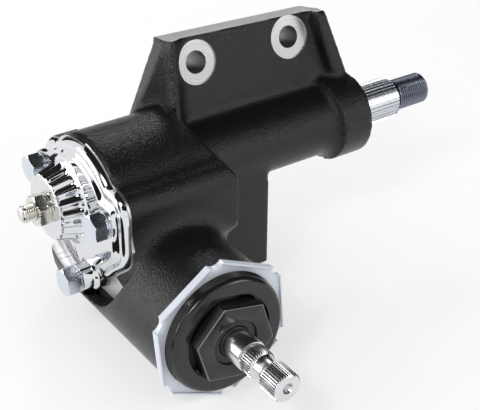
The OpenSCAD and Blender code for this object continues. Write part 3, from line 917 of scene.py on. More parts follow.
@dataclass
class SideCover:
    """The polished cover: two-level flange, bolt pillar and fluted boss.

    A section is a list of stations along X, each with its inset from the outline or its radius.
    """

    middle: Point = (-7.5, -3.0)
    body_r: float = 38.9
    ear: Round = Round(21.0, 15.0, 11.0)
    front: tuple[Point, ...] = ((-42.3, 12.0), (-42.3, -9.5), (-15.5, -31.5))
    front_r: float = 11.0
    front_rounds: int = 16
    lobe_r: float = 9.6
    lobe_inset: float = 0.9
    bolt_middle: Point = (-5.0, -3.6)
    bolt_circle_r: float = 35.5
    bolt_angles: Triple = (19.9, 165.9, 247.5)
    bolt_room: float = 9.0
    plateau_x: float = -31.4
    pillar_t: float = 7.0
    proud: float = 0.15
    overhang: float = 0.7
    flange: tuple[Point, ...] = (
        (-25.8, 1.6), (-25.1, 1.5), (-25.1, 0.4), (-25.4, 0.0), (-26.3, 0.25), (-27.2, 0.7), (-28.0, 1.35),
        (-28.6, 2.2), (-28.9, 3.2), (-28.9, 4.2), (-28.95, 4.9), (-29.3, 5.7), (-29.9, 6.4), (-30.6, 7.1),
        (-31.1, 7.7))
    boss_x: float = -45.0
    boss_r: float = 22.2
    boss_taper: float = 4.2
    boss_rings: int = 22
    crown: tuple[Point, ...] = (
        (-44.75, 17.6), (-44.95, 17.2), (-45.0, 16.6), (-45.0, 9.0), (-45.0, 5.4), (-44.6, 4.85),
        (-41.0, 4.8), (-41.0, 14.05), (-26.2, 14.05), (-25.8, 14.4))
    flutes: int = 20
    flute_depth: float = 1.7
    flat_washer: tuple[Point, ...] = (
        (0.0, 4.3), (0.0, 7.5), (-0.12, 7.62), (-0.9, 7.62), (-1.02, 7.5), (-1.02, 4.3))
    lock_washer: tuple[Point, ...] = (
        (-1.05, 4.4), (-1.05, 6.9), (-1.15, 7.0), (-2.3, 7.0), (-2.4, 6.9), (-2.4, 4.4))
    washer_steps: int = 72
    split_way: Triple = (0.0, 0.77, 0.64)
    split_turn: float = math.radians(352.0)
    split_steps: int = 66
    steps: int = 600

    def __post_init__(self) -> None:
        """Lays out the bolts and the circles of the outline."""
        self.bolts = [on_circle(self.bolt_middle, self.bolt_circle_r, math.radians(a))
                      for a in self.bolt_angles]
        self.rounds = [Round(*self.middle, self.body_r), self.ear]
        for (y0, z0), (y1, z1) in zip(self.front, self.front[1:]):
            shares = [i / self.front_rounds for i in range(self.front_rounds + 1)]
            self.rounds += [Round(y0 + (y1 - y0) * s, z0 + (z1 - z0) * s, self.front_r) for s in shares]
        self.lobes = [Round(y, z, self.lobe_r) for y, z in self.bolts]
        self.outlines: dict[float, list[float]] = {}

    def outline(self, inset: float) -> list[float]:
        """Radii of the outline round its middle, softened in its corners.

        Args:
            inset: How far inside the rim it lies.

        Returns:
            One radius for each step round.
        """
        if inset not in self.outlines:
            raw = []
            for i in range(self.steps):
                a = math.tau * i / self.steps
                proud = self.proud + self.overhang * clamp(0.3 - math.cos(a))
                reach = [r.reach(self.middle, a, proud - inset) for r in self.rounds]
                reach += [r.reach(self.middle, a, -min(inset, self.lobe_inset)) for r in self.lobes]
                raw.append(max(reach))
            for _ in range(3):
                raw = [sum(raw[(i + k) % self.steps] for k in range(-4, 5)) / 9
                       for i in range(self.steps)]
            self.outlines[inset] = raw
        return self.outlines[inset]

    def rim_reach(self, inset: float, angle: float) -> float:
        """Returns the outline's radius at an angle round its middle."""
        return self.outline(inset)[round(angle / math.tau * self.steps) % self.steps]

    def boss_radius(self, x: float, angle: float) -> float:
        """Radius of the fluted boss.

        Args:
            x: Station along the sector axis.
            angle: Angle round it.

        Returns:
            The radius.
        """
        share = (self.plateau_x - x) / (self.plateau_x - self.boss_x)
        ends = clamp((share - 0.07) / 0.16) * clamp((0.97 - share) / 0.10)
        wave = 0.5 + 0.5 * math.cos(angle * self.flutes)
        return self.boss_r - self.boss_taper * share - self.flute_depth * math.sqrt(ends) * wave ** 0.8

    def spot(self, kind: Ring, x: float, value: float, angle: float) -> Vector:
        """Place of a ring's point, kept clear of the bolt heads.

        Args:
            kind: How the ring is placed.
            x: Station of the ring.
            value: Inset of an outline or radius of a round.
            angle: The ray's angle about the middle.

        Returns:
            The point.
        """
        if kind is Ring.OUTLINE:
            return Vector((x, *on_circle(self.middle, self.rim_reach(value, angle), angle)))
        radius = self.boss_radius(x, angle) if kind is Ring.BOSS else value
        y, z = on_circle((0.0, 0.0), radius, angle)
        for by, bz in self.bolts:
            gap = math.hypot(y - by, z - bz)
            if gap < self.bolt_room and x < self.plateau_x - 0.01 and radius > 15.0:
                pull = 1.0 - (self.bolt_room - gap) / radius
                y, z = y * pull, z * pull
        return Vector((x, y, z))

    def shape(self) -> bmesh.types.BMesh:
        """Builds the cover as one closed tube of rings, with the bolt pillar on it.

        Returns:
            The mesh in gear axes.
        """
        top = self.plateau_x
        foot = top - 1.1
        rings = [(Ring.OUTLINE, x, inset)
                 for x, inset in (*self.flange, (top + 0.06, 8.4), (top, 9.2))]
        rings += [(Ring.ROUND, x, r)
                  for x, r in ((top, 25.6), (top - 0.1, 24.6), (top - 0.5, 23.4), (foot, 22.4))]
        rings += [(Ring.BOSS, foot - 11.9 * i / self.boss_rings, 0.0)
                  for i in range(1, self.boss_rings + 1)]
        rings += [(Ring.ROUND, x, r) for x, r in self.crown]
        shape = bmesh.new()
        for vert, ring in tube(shape, len(rings), ALONG_X, self.steps):
            vert.co = self.spot(*rings[ring], math.atan2(vert.co.z, vert.co.y) % math.tau)
        head = top - self.pillar_t
        pillar = [(top + 1.0, 0.0), (top + 1.0, self.lobe_r), (top - 0.1, 8.9), (top - 0.6, 8.0),
                  (top - 1.4, 7.5), (head + 0.5, 7.35), (head + 0.1, 7.2), (head, 6.8), (head, 0.0)]
        spin(shape, pillar, Vector((0.0, *self.bolts[-1])), ALONG_X, 64)
        return shape

    def washers(self) -> bmesh.types.BMesh:
        """Builds a flat washer and a split spring washer under each bolt head.

        Returns:
            The mesh in gear axes.
        """
        shape = bmesh.new()
        seats = (self.plateau_x, self.plateau_x, self.plateau_x - self.pillar_t)
        for bolt, seat in zip(self.bolts, seats):
            place = Vector((seat, *bolt))
            spin(shape, self.flat_washer, place, ALONG_X, self.washer_steps, closed=True)
            section = [shape.verts.new(place + ALONG_X * x + Vector(self.split_way) * r)
                       for x, r in self.lock_washer]
            bmesh.ops.spin(shape, geom=[shape.faces.new(section)], cent=place, axis=ALONG_X,
                           angle=self.split_turn, steps=self.split_steps)
        return shape

    def build(self, shop: Workshop) -> None:
        """Makes the cover and its washers."""
        shop.piece("polished_cover", self.shape(), Body.HOUSING, (Look.CHROME,), "side_cover")
        shop.piece("bolt_washers", self.washers(), Body.HOUSING, (Look.ZINC,), "cover_washers")


# Turned and stamped pieces


@dataclass(frozen=True)
class LashAdjuster:
    """The lash adjuster screw with its domed tip and foot, and its chamfered lock nut."""

    thread: Thread = Thread((-58.2, -38.0), 4.75, 0.62, 1.25)
    tip: tuple[Point, ...] = ((-60.0, 0.0), (-59.95, 1.6), (-59.7, 3.0), (-59.2, 4.0), (-58.6, 4.5))
    foot: tuple[Point, ...] = ((-37.2, 4.75), (-36.6, 4.75), (-36.6, 6.6), (-33.6, 6.6), (-33.6, 0.0))
    nut_hexagon: tuple[Point, ...] = (
        (-52.2, 7.9), (-51.9, 8.4), (-51.5, 9.1), (-51.2, 9.6), (-47.3, 9.6), (-46.8, 9.0), (-46.4, 8.2))
    nut_face: tuple[Point, ...] = ((-46.3, 8.3), (-45.3, 8.3), (-45.0, 8.0), (-45.0, 4.8), (-51.8, 4.8))
    nut_mouth: Point = (-52.2, 5.2)
    nut_corner: float = 9.2
    nut_turn: float = math.radians(8.0)
    nut_steps: int = 240

    def stud(self) -> bmesh.types.BMesh:
        """Returns the screw's mesh in gear axes."""
        shape = bmesh.new()
        self.thread.rod(shape, ALONG_X, self.tip, self.foot)
        return shape

    def nut(self) -> bmesh.types.BMesh:
        """Builds the lock nut.

        Returns:
            The mesh in gear axes.
        """
        rings = [(*self.nut_mouth, 0.0)]
        rings += [(x, r, self.nut_corner) for x, r in self.nut_hexagon]
        rings += [(x, r, 0.0) for x, r in self.nut_face]
        return solid(ringed, rings, SECTOR_AXIS, ALONG_X, self.nut_turn, self.nut_steps)

    def build(self, shop: Workshop) -> None:
        """Makes the screw and its nut."""
        shop.piece("lash_stud", self.stud(), Body.HOUSING, (Look.STUD,), "lash_screw")
        shop.piece("lash_nut", self.nut(), Body.HOUSING, (Look.STUD,), "lash_lock_nut")


@dataclass(frozen=True)
class OutputShaft:
    """The sector shaft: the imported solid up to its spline, then a threaded end."""

    node: bpy.types.Object
    cut_x: float = 191.6
    thread: Thread = Thread((193.6, 215.6), 9.5, 0.95, 1.59)
    neck: tuple[Point, ...] = ((191.0, 0.0), (191.0, 8.2), (192.8, 8.2), (193.4, 8.6))
    end: tuple[Point, ...] = (
        (216.0, 9.0), (216.9, 8.3), (217.3, 7.4), (217.5, 6.0), (217.5, 3.4), (213.5, 1.0), (213.0, 0.0))

    def shape(self) -> bmesh.types.BMesh:
        """Builds the shaft, with its thread in the second finish.

        Returns:
            The mesh in gear axes.
        """
        shape = copied(self.node)
        cut_off(shape, ALONG_X * self.cut_x, ALONG_X)
        self.thread.rod(shape, ALONG_X, self.neck, self.end, finish=1)
        return shape

    def build(self, shop: Workshop) -> None:
        """Makes the shaft."""
        shop.piece("output_shaft", self.shape(), Body.SECTOR,
                   (Look.SECTOR, Look.BLUED), "sector_shaft")


@dataclass(frozen=True)
class InputShaft:
    """The worm shaft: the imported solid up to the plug, then a shank with two splines."""

    node: bpy.types.Object
    cut_y: float = -105.0
    teeth: int = 36
    tooth_steps: int = 8
    tooth_depth: float = 0.85
    crest_r: float = 7.94
    splines: tuple[Point, Point] = ((-132.2, -125.3), (-152.6, -141.3))
    shank: tuple[Point, ...] = (
        (-104.8, 0.0), (-104.8, 8.95), (-106.2, 8.5), (-123.6, 8.5), (-124.2, 8.3), (-124.6, 7.1))
    groove: tuple[Point, ...] = (
        (-132.9, 7.0), (-133.2, 6.6), (-133.6, 6.44), (-139.9, 6.44), (-140.3, 6.6), (-140.6, 7.0))
    end: tuple[Point, ...] = ((-153.3, 7.2), (-153.6, 6.8), (-153.6, 3.0), (-148.6, 0.4), (-148.6, 0.0))
    groove_r: float = 6.6

    def shape(self) -> bmesh.types.BMesh:
        """Builds the shaft, with the splines' roots in the second finish: darkened iron that is painted
        shade.

        Returns:
            The mesh in gear axes.
        """
        shape = copied(self.node)
        cut_off(shape, ALONG_Y * self.cut_y, -ALONG_Y)
        upper, lower = ([(y, self.crest_r) for y in reversed(span)] for span in self.splines)
        profile = [*self.shank, *upper, *self.groove, *lower, *self.end]
        crest = (self.crest_r - 0.01, self.crest_r + 0.01)
        for vert in spin(shape, profile, WORM_AXIS, ALONG_Y, self.teeth * self.tooth_steps):
            station, out, angle = polar(vert.co, WORM_AXIS, ALONG_Y)
            if crest[0] < out.length < crest[1]:
                turn = angle * self.teeth / math.tau % 1.0
                dip = clamp(abs(turn * 2.0 - 1.0) * 2.0 - 0.5)
                reach = self.crest_r - self.tooth_depth * dip
                vert.co = WORM_AXIS + ALONG_Y * station + out.normalized() * reach
        # The splines' roots get the darkened iron: painted shade between the teeth.
        for face in shape.faces:
            station, out, _ = polar(face.calc_center_median(), WORM_AXIS, ALONG_Y)
            toothed = any(low < station < high for low, high in self.splines)
            if toothed and self.groove_r < out.length < self.crest_r - self.tooth_depth * 0.4:
                face.material_index = 1
        return shape

    def build(self, shop: Workshop) -> None:
        """Makes the shaft."""
        shop.piece("input_shaft", self.shape(), Body.WORM,
                   (Look.INPUT, Look.BORE), "worm_shaft")


@dataclass(frozen=True)
class AdjusterPlug:
    """The adjuster plug: fine outer thread, rounded rim, deep ring and raised hexagon."""

    thread: Thread = Thread((-102.2, -79.0), 33.0, 0.55, 1.25)
    points_per_turn: int = 8
    rim: tuple[Point, ...] = (
        (-103.0, 32.9), (-104.1, 32.4), (-104.9, 31.6), (-105.25, 30.8), (-105.3, 30.0), (-105.3, 24.3),
        (-105.0, 23.95), (-100.9, 23.9), (-100.8, 23.6))
    hexagon: tuple[Triple, ...] = (
        (-100.8, 23.45, 23.5), (-110.6, 23.4, 23.5), (-110.88, 23.1, 23.3), (-111.0, 22.7, 22.9))
    bore: tuple[Point, ...] = (
        (-111.0, 13.3), (-110.7, 12.8), (-103.0, 12.6), (-103.0, 9.65), (-76.5, 9.65), (-76.5, 18.0),
        (-68.5, 18.0), (-68.5, 21.0), (-79.0, 21.0))
    turn: float = math.radians(-16.5)
    steps: int = 360
    # Span and reach of the hexagon's lighter edge band: worn oxide and painted highlight.
    worn: Point = (-110.99, -110.62)
    worn_and_sheen_r: float = 16.0

    def shape(self) -> bmesh.types.BMesh:
        """Builds the plug, with the hexagon's edge in the second finish, a lighter band that is worn oxide
        and painted highlight.

        Returns:
            The mesh in gear axes.
        """
        first, last = self.thread.span
        rings = [(y, self.thread.radius, 0.0) for y in reversed(self.thread.stations(self.points_per_turn))]
        rings += [(y, r, 0.0) for y, r in self.rim]
        rings += [*self.hexagon, *((y, r, 0.0) for y, r in self.bore)]
        shape = solid(ringed, rings, WORM_AXIS, ALONG_Y, self.turn, self.steps)
        for vert in shape.verts:
            station, out, _ = polar(vert.co, WORM_AXIS, ALONG_Y)
            if out.length > self.thread.radius - 0.05 and first < station < last:
                reach = self.thread.reach(station, math.atan2(out.z, out.x))
                vert.co = WORM_AXIS + ALONG_Y * station + out.normalized() * reach
        # Faces on the hexagon's edge get the lighter band: worn oxide and painted highlight.
        for face in shape.faces:
            station, out, _ = polar(face.calc_center_median(), WORM_AXIS, ALONG_Y)
            if self.worn[0] < station < self.worn[1] and out.length > self.worn_and_sheen_r:
                face.material_index = 1
        return shape

    def build(self, shop: Workshop) -> None:
        """Makes the plug."""
        shop.piece("hex_plug", self.shape(), Body.HOUSING,
                   (Look.OXIDE, Look.WORN), "adjuster_plug")


@dataclass(frozen=True)
class LockRing:
    """The stamped six-sided ring with turned lips and notched corners."""

    flat_r: float = 37.2
    turn: float = math.radians(4.65)
    lip_half: float = math.radians(24.6)
    inner_r: float = 33.1
    notch_r: float = 38.7
    notch_rise: float = 1.7
    back_y: float = -95.0
    tray_y: float = -98.1
    lip_y: float = -99.3
    lip_t: float = 1.1
    steps: int = 720

    def section(self, angle: float) -> list[Point]:
        """Section of the ring at an angle: a lip on the sides, a flat cut at the corners.

        Args:
            angle: The angle round the worm axis.

        Returns:
            Station and radius of each point.
        """
        side = math.pi / 6
        local = (angle - self.turn + side) % (2 * side) - side
        lipped = abs(local) < self.lip_half
        corner = (side - abs(local)) / (side - self.lip_half)
        rim = self.flat_r / math.cos(local) if lipped else self.notch_r + self.notch_rise * corner ** 2
        top = self.lip_y if lipped else self.tray_y
        wall = rim - self.lip_t
        return [(self.back_y, self.inner_r), (self.back_y, rim - 0.6), (self.back_y - 0.5, rim),
                (top + 0.3, rim), (top, rim - 0.3), (top, wall + 0.2), (min(top + 0.2, self.tray_y), wall),
                (self.tray_y - 0.1 if lipped else top, wall - 0.05), (self.tray_y, wall - 0.3),
                (self.tray_y, self.inner_r + 0.9), (self.tray_y + 0.1, self.inner_r + 0.3),
                (self.tray_y + 0.5, self.inner_r)]

    def shape(self) -> bmesh.types.BMesh:
        """Builds the ring from its sections.

        Returns:
            The mesh in gear axes.
        """
        shape = bmesh.new()
        for vert, ring in tube(shape, len(self.section(0.0)), ALONG_Y, self.steps):
            angle = math.atan2(vert.co.z, vert.co.x)
            station, radius = self.section(angle)[ring]
            way = Vector((math.cos(angle), 0.0, math.sin(angle)))
            vert.co = WORM_AXIS + ALONG_Y * station + way * radius
        return shape

    def build(self, shop: Workshop) -> None:
        """Makes the ring."""
        shop.piece("stamped_ring", self.shape(), Body.HOUSING, (Look.RING,), "lock_ring")


# Housing


class Cut(Enum):
    """Finishes of the casting, by material index."""

    CAST = 0
    MILLED = 1
    SPOT = 2
    SAWN = 3
    # Bores and holes get the darkened iron, which is painted shade inside them.
    BORE = 4


@dataclass
class Casting:
    """The sand-cast housing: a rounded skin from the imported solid, cut where it is machined.

    Places on the mounting plate are given along it, through it and up it. A bore is given by its
    first and last station and its radius.
    """

    node: bpy.types.Object
    cover: SideCover
    voxel: float = 1.25
    # Machined faces of the cover's flange
    seat_x: float = -25.0
    rim_x: float = -23.7
    rim_room: float = 0.8
    rim_gap: float = 1.3
    clear_x: float = -60.0
    sweep_middle: Point = (-10.0, -3.0)
    sweep_r: float = 50.5
    sweep_angles: Point = (92.0, 268.0)
    sweep_steps: int = 64
    pocket: tuple[Point, ...] = (
        (-8.0, -30.0), (-8.0, -47.3), (-34.2, -47.3), (-48.0, -35.3), (-36.2, -31.0), (-33.0, -27.0))
    pocket_x: float = -24.8
    # Mounting plate
    face_d: float = 21.0
    spare: float = 3.0
    spot_d: float = -0.6
    spot_r: float = 12.6
    holes: tuple[Point, Point] = ((58.4, 53.6), (121.9, 53.6))
    hole_r: float = 6.5
    leg_hole: Point = (66.0, -47.0)
    leg_hole_r: float = 5.3
    top_edge: Triple = (41.5, 0.0, 69.0)
    top_slope: float = math.atan2(3.9, 104.8)
    # Ends of the tubes, filled before the skin is made
    worm_ends: tuple[Point, Point] = ((-100.0, -75.0), (-12.0, 16.8))
    worm_tube_r: float = 36.4
    mouth_y: float = -95.0
    seal_boss: Point = (140.0, 157.6)
    seal_boss_r: float = 20.5
    # Inside: sector chamber, bush bore and seal seat
    sector_bores: tuple[tuple[float, float, float, Cut], ...] = (
        (-26.0, 33.0, 24.2, Cut.BORE), (0.0, 150.0, 16.55, Cut.BORE), (149.0, 170.0, 20.0, Cut.MILLED))
    # Inside: nut bore, front room, plug thread, bearing seat and shaft end
    worm_bores: tuple[Triple, ...] = (
        (-80.0, 40.0, 17.2), (-80.0, -48.57, 27.0), (-96.0, -78.5, 33.05), (39.0, 47.5, 18.0),
        (41.0, 50.0, 8.0))
    nut_rooms: tuple[tuple[Triple, Triple], ...] = (
        ((-14.3, -47.57, -AXIS_GAP), (14.3, 32.17, -15.8)),
        ((-13.4, -36.57, -66.6), (13.4, 14.57, -AXIS_GAP)))
    bolt_hole: Triple = (-26.0, -18.2, 4.05)
    # Rounding: how hollow a corner is that gets a fillet, then growth and rounds of smoothing
    edge_rounds: int = 4
    hollow_mm: float = 0.018
    fillet: tuple[int, int] = (3, 24)
    deep_fillet: tuple[int, int] = (6, 110)
    # Where the deep fillet lies: along X, along Y and round the worm
    deep_zone: tuple[Point, Point, Point] = ((-24.0, 43.0), (-64.0, -30.0), (30.0, 48.0))

    def __post_init__(self) -> None:
        """Works out the plate's lean."""
        self.lean = Matrix.Rotation(-PLATE_TILT, 4, "X")
        self.back = self.lean @ ALONG_Y

    def on_plate(self, x: float, depth: float, rise: float) -> Vector:
        """Returns a point given along the mounting plate, through it and up it."""
        return self.lean @ Vector((x, depth, rise))

    def blank(self) -> bmesh.types.BMesh:
        """Fills the solid's bores and stretches it past its machined faces.

        Returns:
            The mesh in gear axes, with overlapping closed parts.
        """
        shape = copied(self.node)
        self.stretch(shape)
        for r in [*self.cover.rounds, *self.cover.lobes]:
            rod(shape, Vector((-31.0, r.y, r.z)), ALONG_X, 11.0, r.r + 0.5)
        for first, last in self.worm_ends:
            rod(shape, WORM_AXIS + ALONG_Y * first, ALONG_Y, last - first, self.worm_tube_r)
        first, last = self.seal_boss
        rod(shape, ALONG_X * first, ALONG_X, last - first, self.seal_boss_r)
        end = self.face_d + self.spare
        for x, rise in self.holes:
            rod(shape, self.on_plate(x, -1.5, rise), self.back, 8.0, self.spot_r + 0.6)
            rod(shape, self.on_plate(x, 1.0, rise), self.back, end - 1.0, self.hole_r + 0.5)
        x, rise = self.leg_hole
        rod(shape, self.on_plate(x, 2.0, rise), self.back, end - 2.0, self.leg_hole_r + 0.5)
        return shape

    def stretch(self, shape: bmesh.types.BMesh) -> None:
        """Carries the plate's back face outwards, so that the cut there has a clean edge.

        Args:
            shape: The mesh in gear axes.
        """
        flat = [f for f in shape.faces if f.normal.dot(self.back) > 0.999
                and abs(f.calc_center_median().dot(self.back) - self.face_d) < 0.05]
        made = bmesh.ops.extrude_face_region(shape, geom=flat)["geom"]
        ends = [v for v in made if isinstance(v, bmesh.types.BMVert)]
        bmesh.ops.translate(shape, verts=ends, vec=self.back * self.spare)

    def skin(self) -> bmesh.types.BMesh:
        """Lays one even, rounded skin round the blank's overlapping parts.

        Returns:
            The mesh in gear axes.
        """
        holder = held("blank", self.blank())
        remesh = holder.modifiers.new("skin", "REMESH")
        remesh.mode = "VOXEL"
        remesh.voxel_size = self.voxel
        shape = applied(holder)
        bpy.data.objects.remove(holder)
        self.soften(shape)
        for face in shape.faces:
            face.material_index = Cut.CAST.value
        return shape

    @staticmethod
    def hollow(vert: bmesh.types.BMVert) -> float:
        """Measures how far a vertex lies below its neighbours.

        Args:
            vert: The vertex.

        Returns:
            The depth in millimetres.
        """
        middle = Vector()
        for edge in vert.link_edges:
            middle += edge.other_vert(vert).co
        middle /= max(1, len(vert.link_edges))
        return (middle - vert.co).dot(vert.normal)

    def by_worm_tube(self, point: Vector) -> bool:
        """Tells whether a point lies where the chamber runs into the worm tube."""
        place = (point.x, point.y, math.hypot(point.x, point.z + AXIS_GAP))
        return all(low < value < high for value, (low, high) in zip(place, self.deep_zone))

    def soften(self, shape: bmesh.types.BMesh) -> None:
        """Rounds the skin's edges and lays fillets into its hollow corners.

        Args:
            shape: The skin in gear axes.
        """
        smooth(shape, shape.verts, self.edge_rounds)
        shape.normal_update()
        low = {v for v in shape.verts if self.hollow(v) > self.hollow_mm}
        for (growth, rounds), deep in ((self.fillet, False), (self.deep_fillet, True)):
            zone = {v for v in low if not deep or self.by_worm_tube(v.co)}
            for _ in range(growth):
                zone |= {e.other_vert(v) for v in zone for e in v.link_edges}
            smooth(shape, list(zone), rounds)

    def front_cuts(self) -> list[bmesh.types.BMesh]:
        """Makes the cutters of the cover's flange and of the worm tube's mouth.

        Returns:
            One closed mesh for each cut.
        """
        rim = self.cover.outline(-self.rim_room)
        flange = [on_circle(self.cover.middle, r, math.tau * i / len(rim)) for i, r in enumerate(rim)]
        first, last = self.sweep_angles
        sweep = [on_circle(self.sweep_middle, self.sweep_r,
                           math.radians(first + (last - first) * i / self.sweep_steps))
                 for i in range(self.sweep_steps + 1)]
        return [solid(prism, flange, (self.clear_x, self.seat_x), Cut.MILLED.value),
                solid(prism, sweep, (self.clear_x, self.seat_x), Cut.CAST.value),
                solid(prism, self.pocket, (self.clear_x, self.pocket_x), Cut.MILLED.value),
                solid(block, Vector((-50.0, -130.0, -90.0)), Vector((50.0, self.mouth_y, 10.0)),
                      Cut.MILLED.value)]

    def plate_cuts(self) -> list[bmesh.types.BMesh]:
        """Makes the cutters of the plate's back, its top edge and its holes.

        Returns:
            One closed mesh for each cut.
        """
        slope = (Matrix.Translation(self.on_plate(*self.top_edge)) @ self.lean
                 @ Matrix.Rotation(self.top_slope, 4, "Y"))
        cuts = [solid(block, Vector((46.0, self.face_d - 0.1, -100.0)), Vector((165.0, 40.0, 90.0)),
                      Cut.MILLED.value, self.lean),
                solid(block, Vector((-20.0, -30.0, 0.0)), Vector((140.0, 40.0, 20.0)),
                      Cut.SAWN.value, slope)]
        for x, rise in self.holes:
            cuts.append(solid(rod, self.on_plate(x, self.spot_d - 22.0, rise), self.back, 22.0,
                              self.spot_r, Cut.SPOT.value))
            cuts.append(solid(rod, self.on_plate(x, -3.0, rise), self.back, 30.0,
                              self.hole_r, Cut.BORE.value))
        x, rise = self.leg_hole
        cuts.append(solid(rod, self.on_plate(x, 3.0, rise), self.back, 30.0,
                          self.leg_hole_r, Cut.BORE.value))
        return cuts

    def inner_cuts(self) -> list[bmesh.types.BMesh]:
        """Makes the cutters of the bores, of the nut's room and of the cover's bolt holes.

        Returns:
            One closed mesh for each cut.
        """
        cuts = [solid(rod, ALONG_X * first, ALONG_X, last - first, r, cut.value)
                for first, last, r, cut in self.sector_bores]
        cuts += [solid(rod, WORM_AXIS + ALONG_Y * first, ALONG_Y, last - first, r, Cut.BORE.value)
                 for first, last, r in self.worm_bores]
        cuts += [solid(block, Vector(low), Vector(high), Cut.BORE.value) for low, high in self.nut_rooms]
        first, last, r = self.bolt_hole
        cuts += [solid(rod, Vector((first, *bolt)), ALONG_X, last - first, r, Cut.BORE.value, 32)
                 for bolt in self.cover.bolts]
        return cuts

    def shape(self) -> bmesh.types.BMesh:
        """Builds the casting.

        Returns:
            The mesh in gear axes.
        """
        work = held("casting", self.skin())
        tools = []
        for cutter in (*self.front_cuts(), *self.plate_cuts(), *self.inner_cuts()):
            bmesh.ops.triangulate(cutter, faces=cutter.faces)
            tools.append(held("cutter", cutter))
        filler = bpy.data.materials.new("Casting filler")
        for holder in (work, *tools):
            for _ in Cut:
                holder.data.materials.append(filler)
        for tool in tools:
            cut = work.modifiers.new(tool.name, "BOOLEAN")
            cut.object = tool
            cut.operation = "DIFFERENCE"
            cut.solver = "MANIFOLD"
        shape = applied(work)
        for holder in (work, *tools):
            bpy.data.objects.remove(holder)
        bpy.data.materials.remove(filler)
        bmesh.ops.triangulate(shape, faces=shape.faces[:], quad_method="FIXED", ngon_method="EAR_CLIP")
        self.bare_rim(shape)
        return shape

    def bare_rim(self, shape: bmesh.types.BMesh) -> None:
        """Bares the machined edge of the flange beside the cover.

        Args:
            shape: The casting in gear axes.
        """
        bmesh.ops.bisect_plane(shape, geom=[*shape.verts, *shape.edges, *shape.faces],
                               plane_co=(self.rim_x, 0.0, 0.0), plane_no=ALONG_X)
        for face in shape.faces:
            place = face.calc_center_median()
            y, z = place.y - self.cover.middle[0], place.z - self.cover.middle[1]
            rim = self.cover.rim_reach(0.0, math.atan2(z, y) % math.tau)
            near = abs(math.hypot(y, z) - rim) < self.rim_gap
            if near and self.seat_x - 0.2 < place.x < self.rim_x and y < 12.0 and place.z > -17.0:
                face.material_index = Cut.MILLED.value

    def build(self, shop: Workshop) -> None:
        """Makes the housing."""
        shop.piece("cast_housing", self.shape(), Body.HOUSING,
                   (Look.CAST, Look.MILLED, Look.SPOT, Look.SAWN, Look.BORE), "gear_housing")


# Studio


@dataclass(frozen=True)
class Lamp:
    """A soft square lamp that looks at the object; sizes in metres and watts."""

    name: str
    place: Triple
    size: float
    watts: float

    def hang(self) -> None:
        """Puts the lamp into the scene."""
        data = bpy.data.lights.new(self.name, "AREA")
        data.size = self.size
        data.energy = self.watts
        lamp = bpy.data.objects.new(self.name, data)
        lamp.location = self.place
        lamp.rotation_euler = (-Vector(self.place)).to_track_quat("-Z", "Y").to_euler()
        bpy.context.scene.collection.objects.link(lamp)


